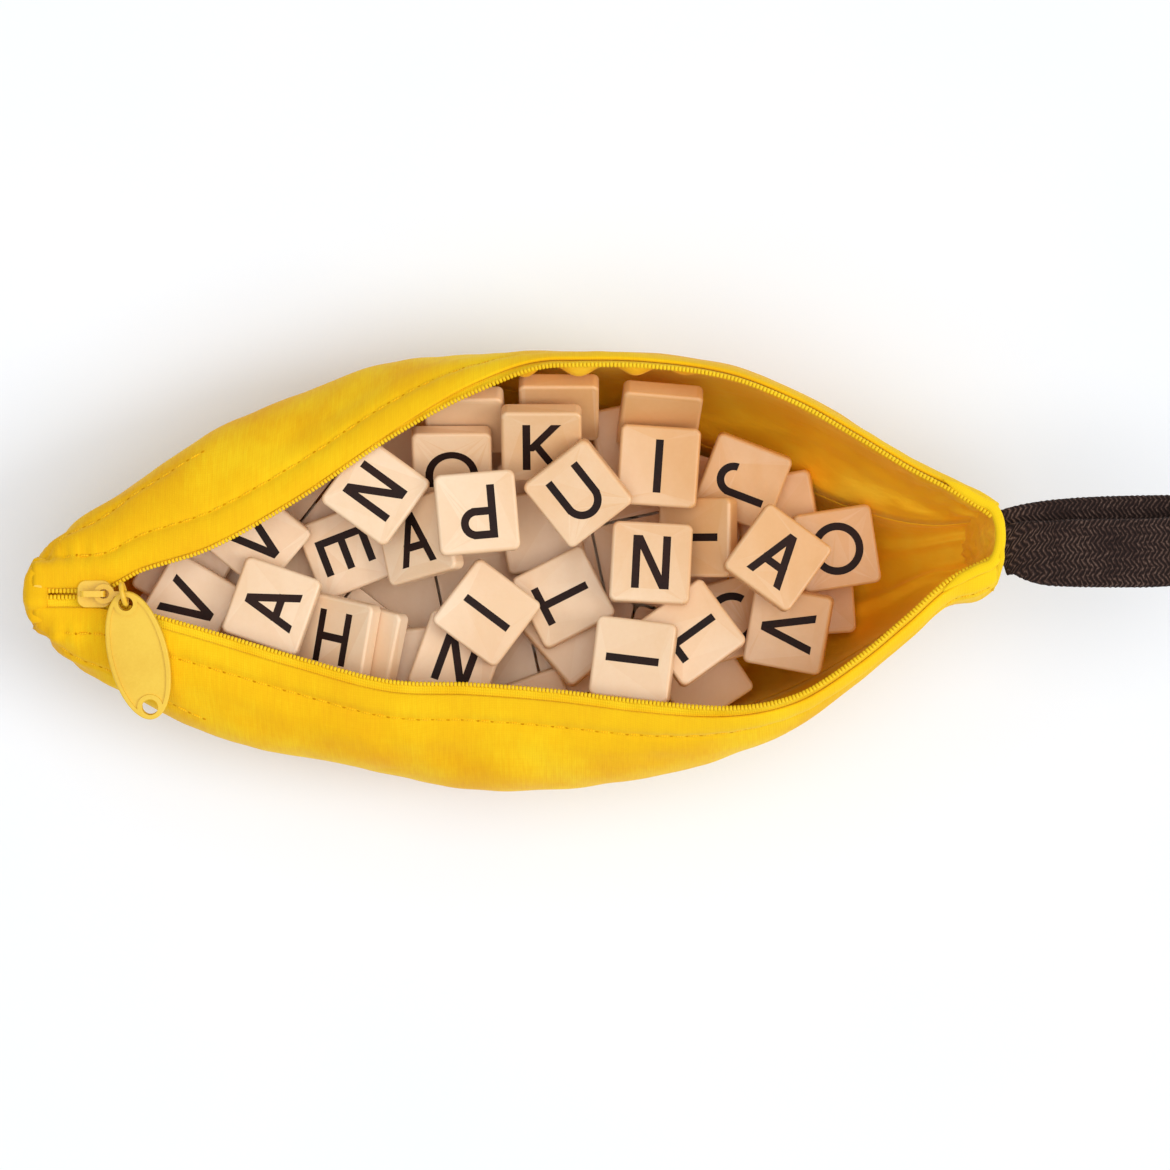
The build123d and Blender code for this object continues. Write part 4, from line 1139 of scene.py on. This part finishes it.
# -------- build
for far_side in (False, True):
    make_canvas_wall(far_side)
    make_lining_wall(far_side)
    make_tape(far_side)
    make_coil(far_side)
    row = side_name(far_side)
    make_stitches(far_side, "topstitch_" + row, rim_row, TAIL_X + 7, STEM_X - 4)
    make_stitches(far_side, "seam_stitch_" + row, seam_row, TAIL_X + 9, STEM_X - 5)
    make_stitches(far_side, "gusset_stitch_" + row, gusset_line, TAIL_X + 5, GUSSET_END)
    seam_ridge(far_side)
make_canvas_bottom()
make_lining_bottom()
end_cap("tail_end", "tail_end_fold", TAIL_X, -1, TAIL_PROFILE, 0.06, 0.4)
end_cap("stem_end", "stem_end_fold", STEM_X, 1, STEM_PROFILE, 0.02, 1.0)
stem_lining()
stem_binding()
make_strap()

LOOKS = {
    "slider_paint": slider_material(),
    "pull_enamel": pull_material(),
    "tile": tile_material(),
    "letter_paint": letter_material(),
}
slots = {entry["node"]: entry["material_slot"] for entry in frame["record"]["subparts"]}
for node, obj in frame["nodes"].items():
    look = LOOKS.get(slots.get(node))
    if look is not None:
        for material_slot in obj.material_slots:
            material_slot.material = look


# -------- floor, light and camera
def white_to_camera(tree, surface, shown):
    """Shows a plain colour to the camera and in reflections, and the surface to other rays."""
    rays = tree.nodes.new("ShaderNodeLightPath").outputs

    def either(a, b):
        node = tree.nodes.new("ShaderNodeMath")
        node.operation = "MAXIMUM"
        tree.links.new(a, node.inputs[0])
        tree.links.new(b, node.inputs[1])
        return node.outputs[0]

    mirrored = either(rays["Is Glossy Ray"], rays["Is Transmission Ray"])
    mix = tree.nodes.new("ShaderNodeMixShader")
    tree.links.new(either(rays["Is Camera Ray"], mirrored), mix.inputs["Fac"])
    tree.links.new(surface, mix.inputs[1])
    tree.links.new(shown, mix.inputs[2])
    return mix.outputs["Shader"]


def make_world():
    world = bpy.data.worlds.new("studio")
    bpy.context.scene.world = world
    world.use_nodes = True
    tree = world.node_tree
    ambient = tree.nodes["Background"]
    ambient.inputs["Color"].default_value = (1, 1, 1, 1)
    ambient.inputs["Strength"].default_value = 0.51
    white = tree.nodes.new("ShaderNodeBackground")
    white.inputs["Color"].default_value = (1, 1, 1, 1)
    white.inputs["Strength"].default_value = 1.0
    shown = white_to_camera(tree, ambient.outputs["Background"], white.outputs["Background"])
    tree.links.new(shown, tree.nodes["World Output"].inputs["Surface"])


def make_floor():
    mesh = bpy.data.meshes.new("floor")
    reach, height = 6.0, -0.0003
    corners = [(x * reach, y * reach, height) for x, y in ((-1, -1), (1, -1), (1, 1), (-1, 1))]
    mesh.from_pydata(corners, [], [(0, 1, 2, 3)])
    s = Shader("pale_floor")
    s.set(Specular_IOR_Level=0.1)
    grain = s.noise(s.object, 9.0, 2.0)
    pale = s.ramp(grain, ((0.3, srgb(238, 242, 247)), (0.7, srgb(241, 244, 248))))
    s.finish(pale, None, s.ramp(grain, ((0, 0.8), (1, 0.9))))
    mesh.materials.append(s.material)
    floor = bpy.data.objects.new("floor", mesh)
    bpy.context.scene.collection.objects.link(floor)


def make_sun(name, energy, angle, direction):
    sun = bpy.data.lights.new(name, "SUN")
    sun.energy = energy
    sun.angle = math.radians(angle)
    lamp = bpy.data.objects.new(name, sun)
    lamp.rotation_euler = Vector(direction).to_track_quat("Z", "Y").to_euler()
    bpy.context.scene.collection.objects.link(lamp)


def make_lights():
    make_sun("overhead", energy=1.3, angle=60, direction=(0.1, -0.05, 1.0))
    make_sun("key", energy=1.1, angle=26, direction=(1.0, -0.15, 0.8))


CAMERA_PLACE = (0.0162, -0.00235, 0.85)  # straight above, where the photograph was taken from
CAMERA_LENS = 104.9


def make_camera():
    camera = bpy.data.cameras.new("camera")
    camera.sensor_width = 36.0
    camera.lens = CAMERA_LENS
    camera.clip_start, camera.clip_end = 0.01, 50
    eye = bpy.data.objects.new("camera", camera)
    eye.location = CAMERA_PLACE
    eye.rotation_euler = (0, 0, 0)
    bpy.context.scene.collection.objects.link(eye)
    bpy.context.scene.camera = eye


make_world()
make_floor()
make_lights()
make_camera()
bpy.context.scene.view_settings.view_transform = "Standard"
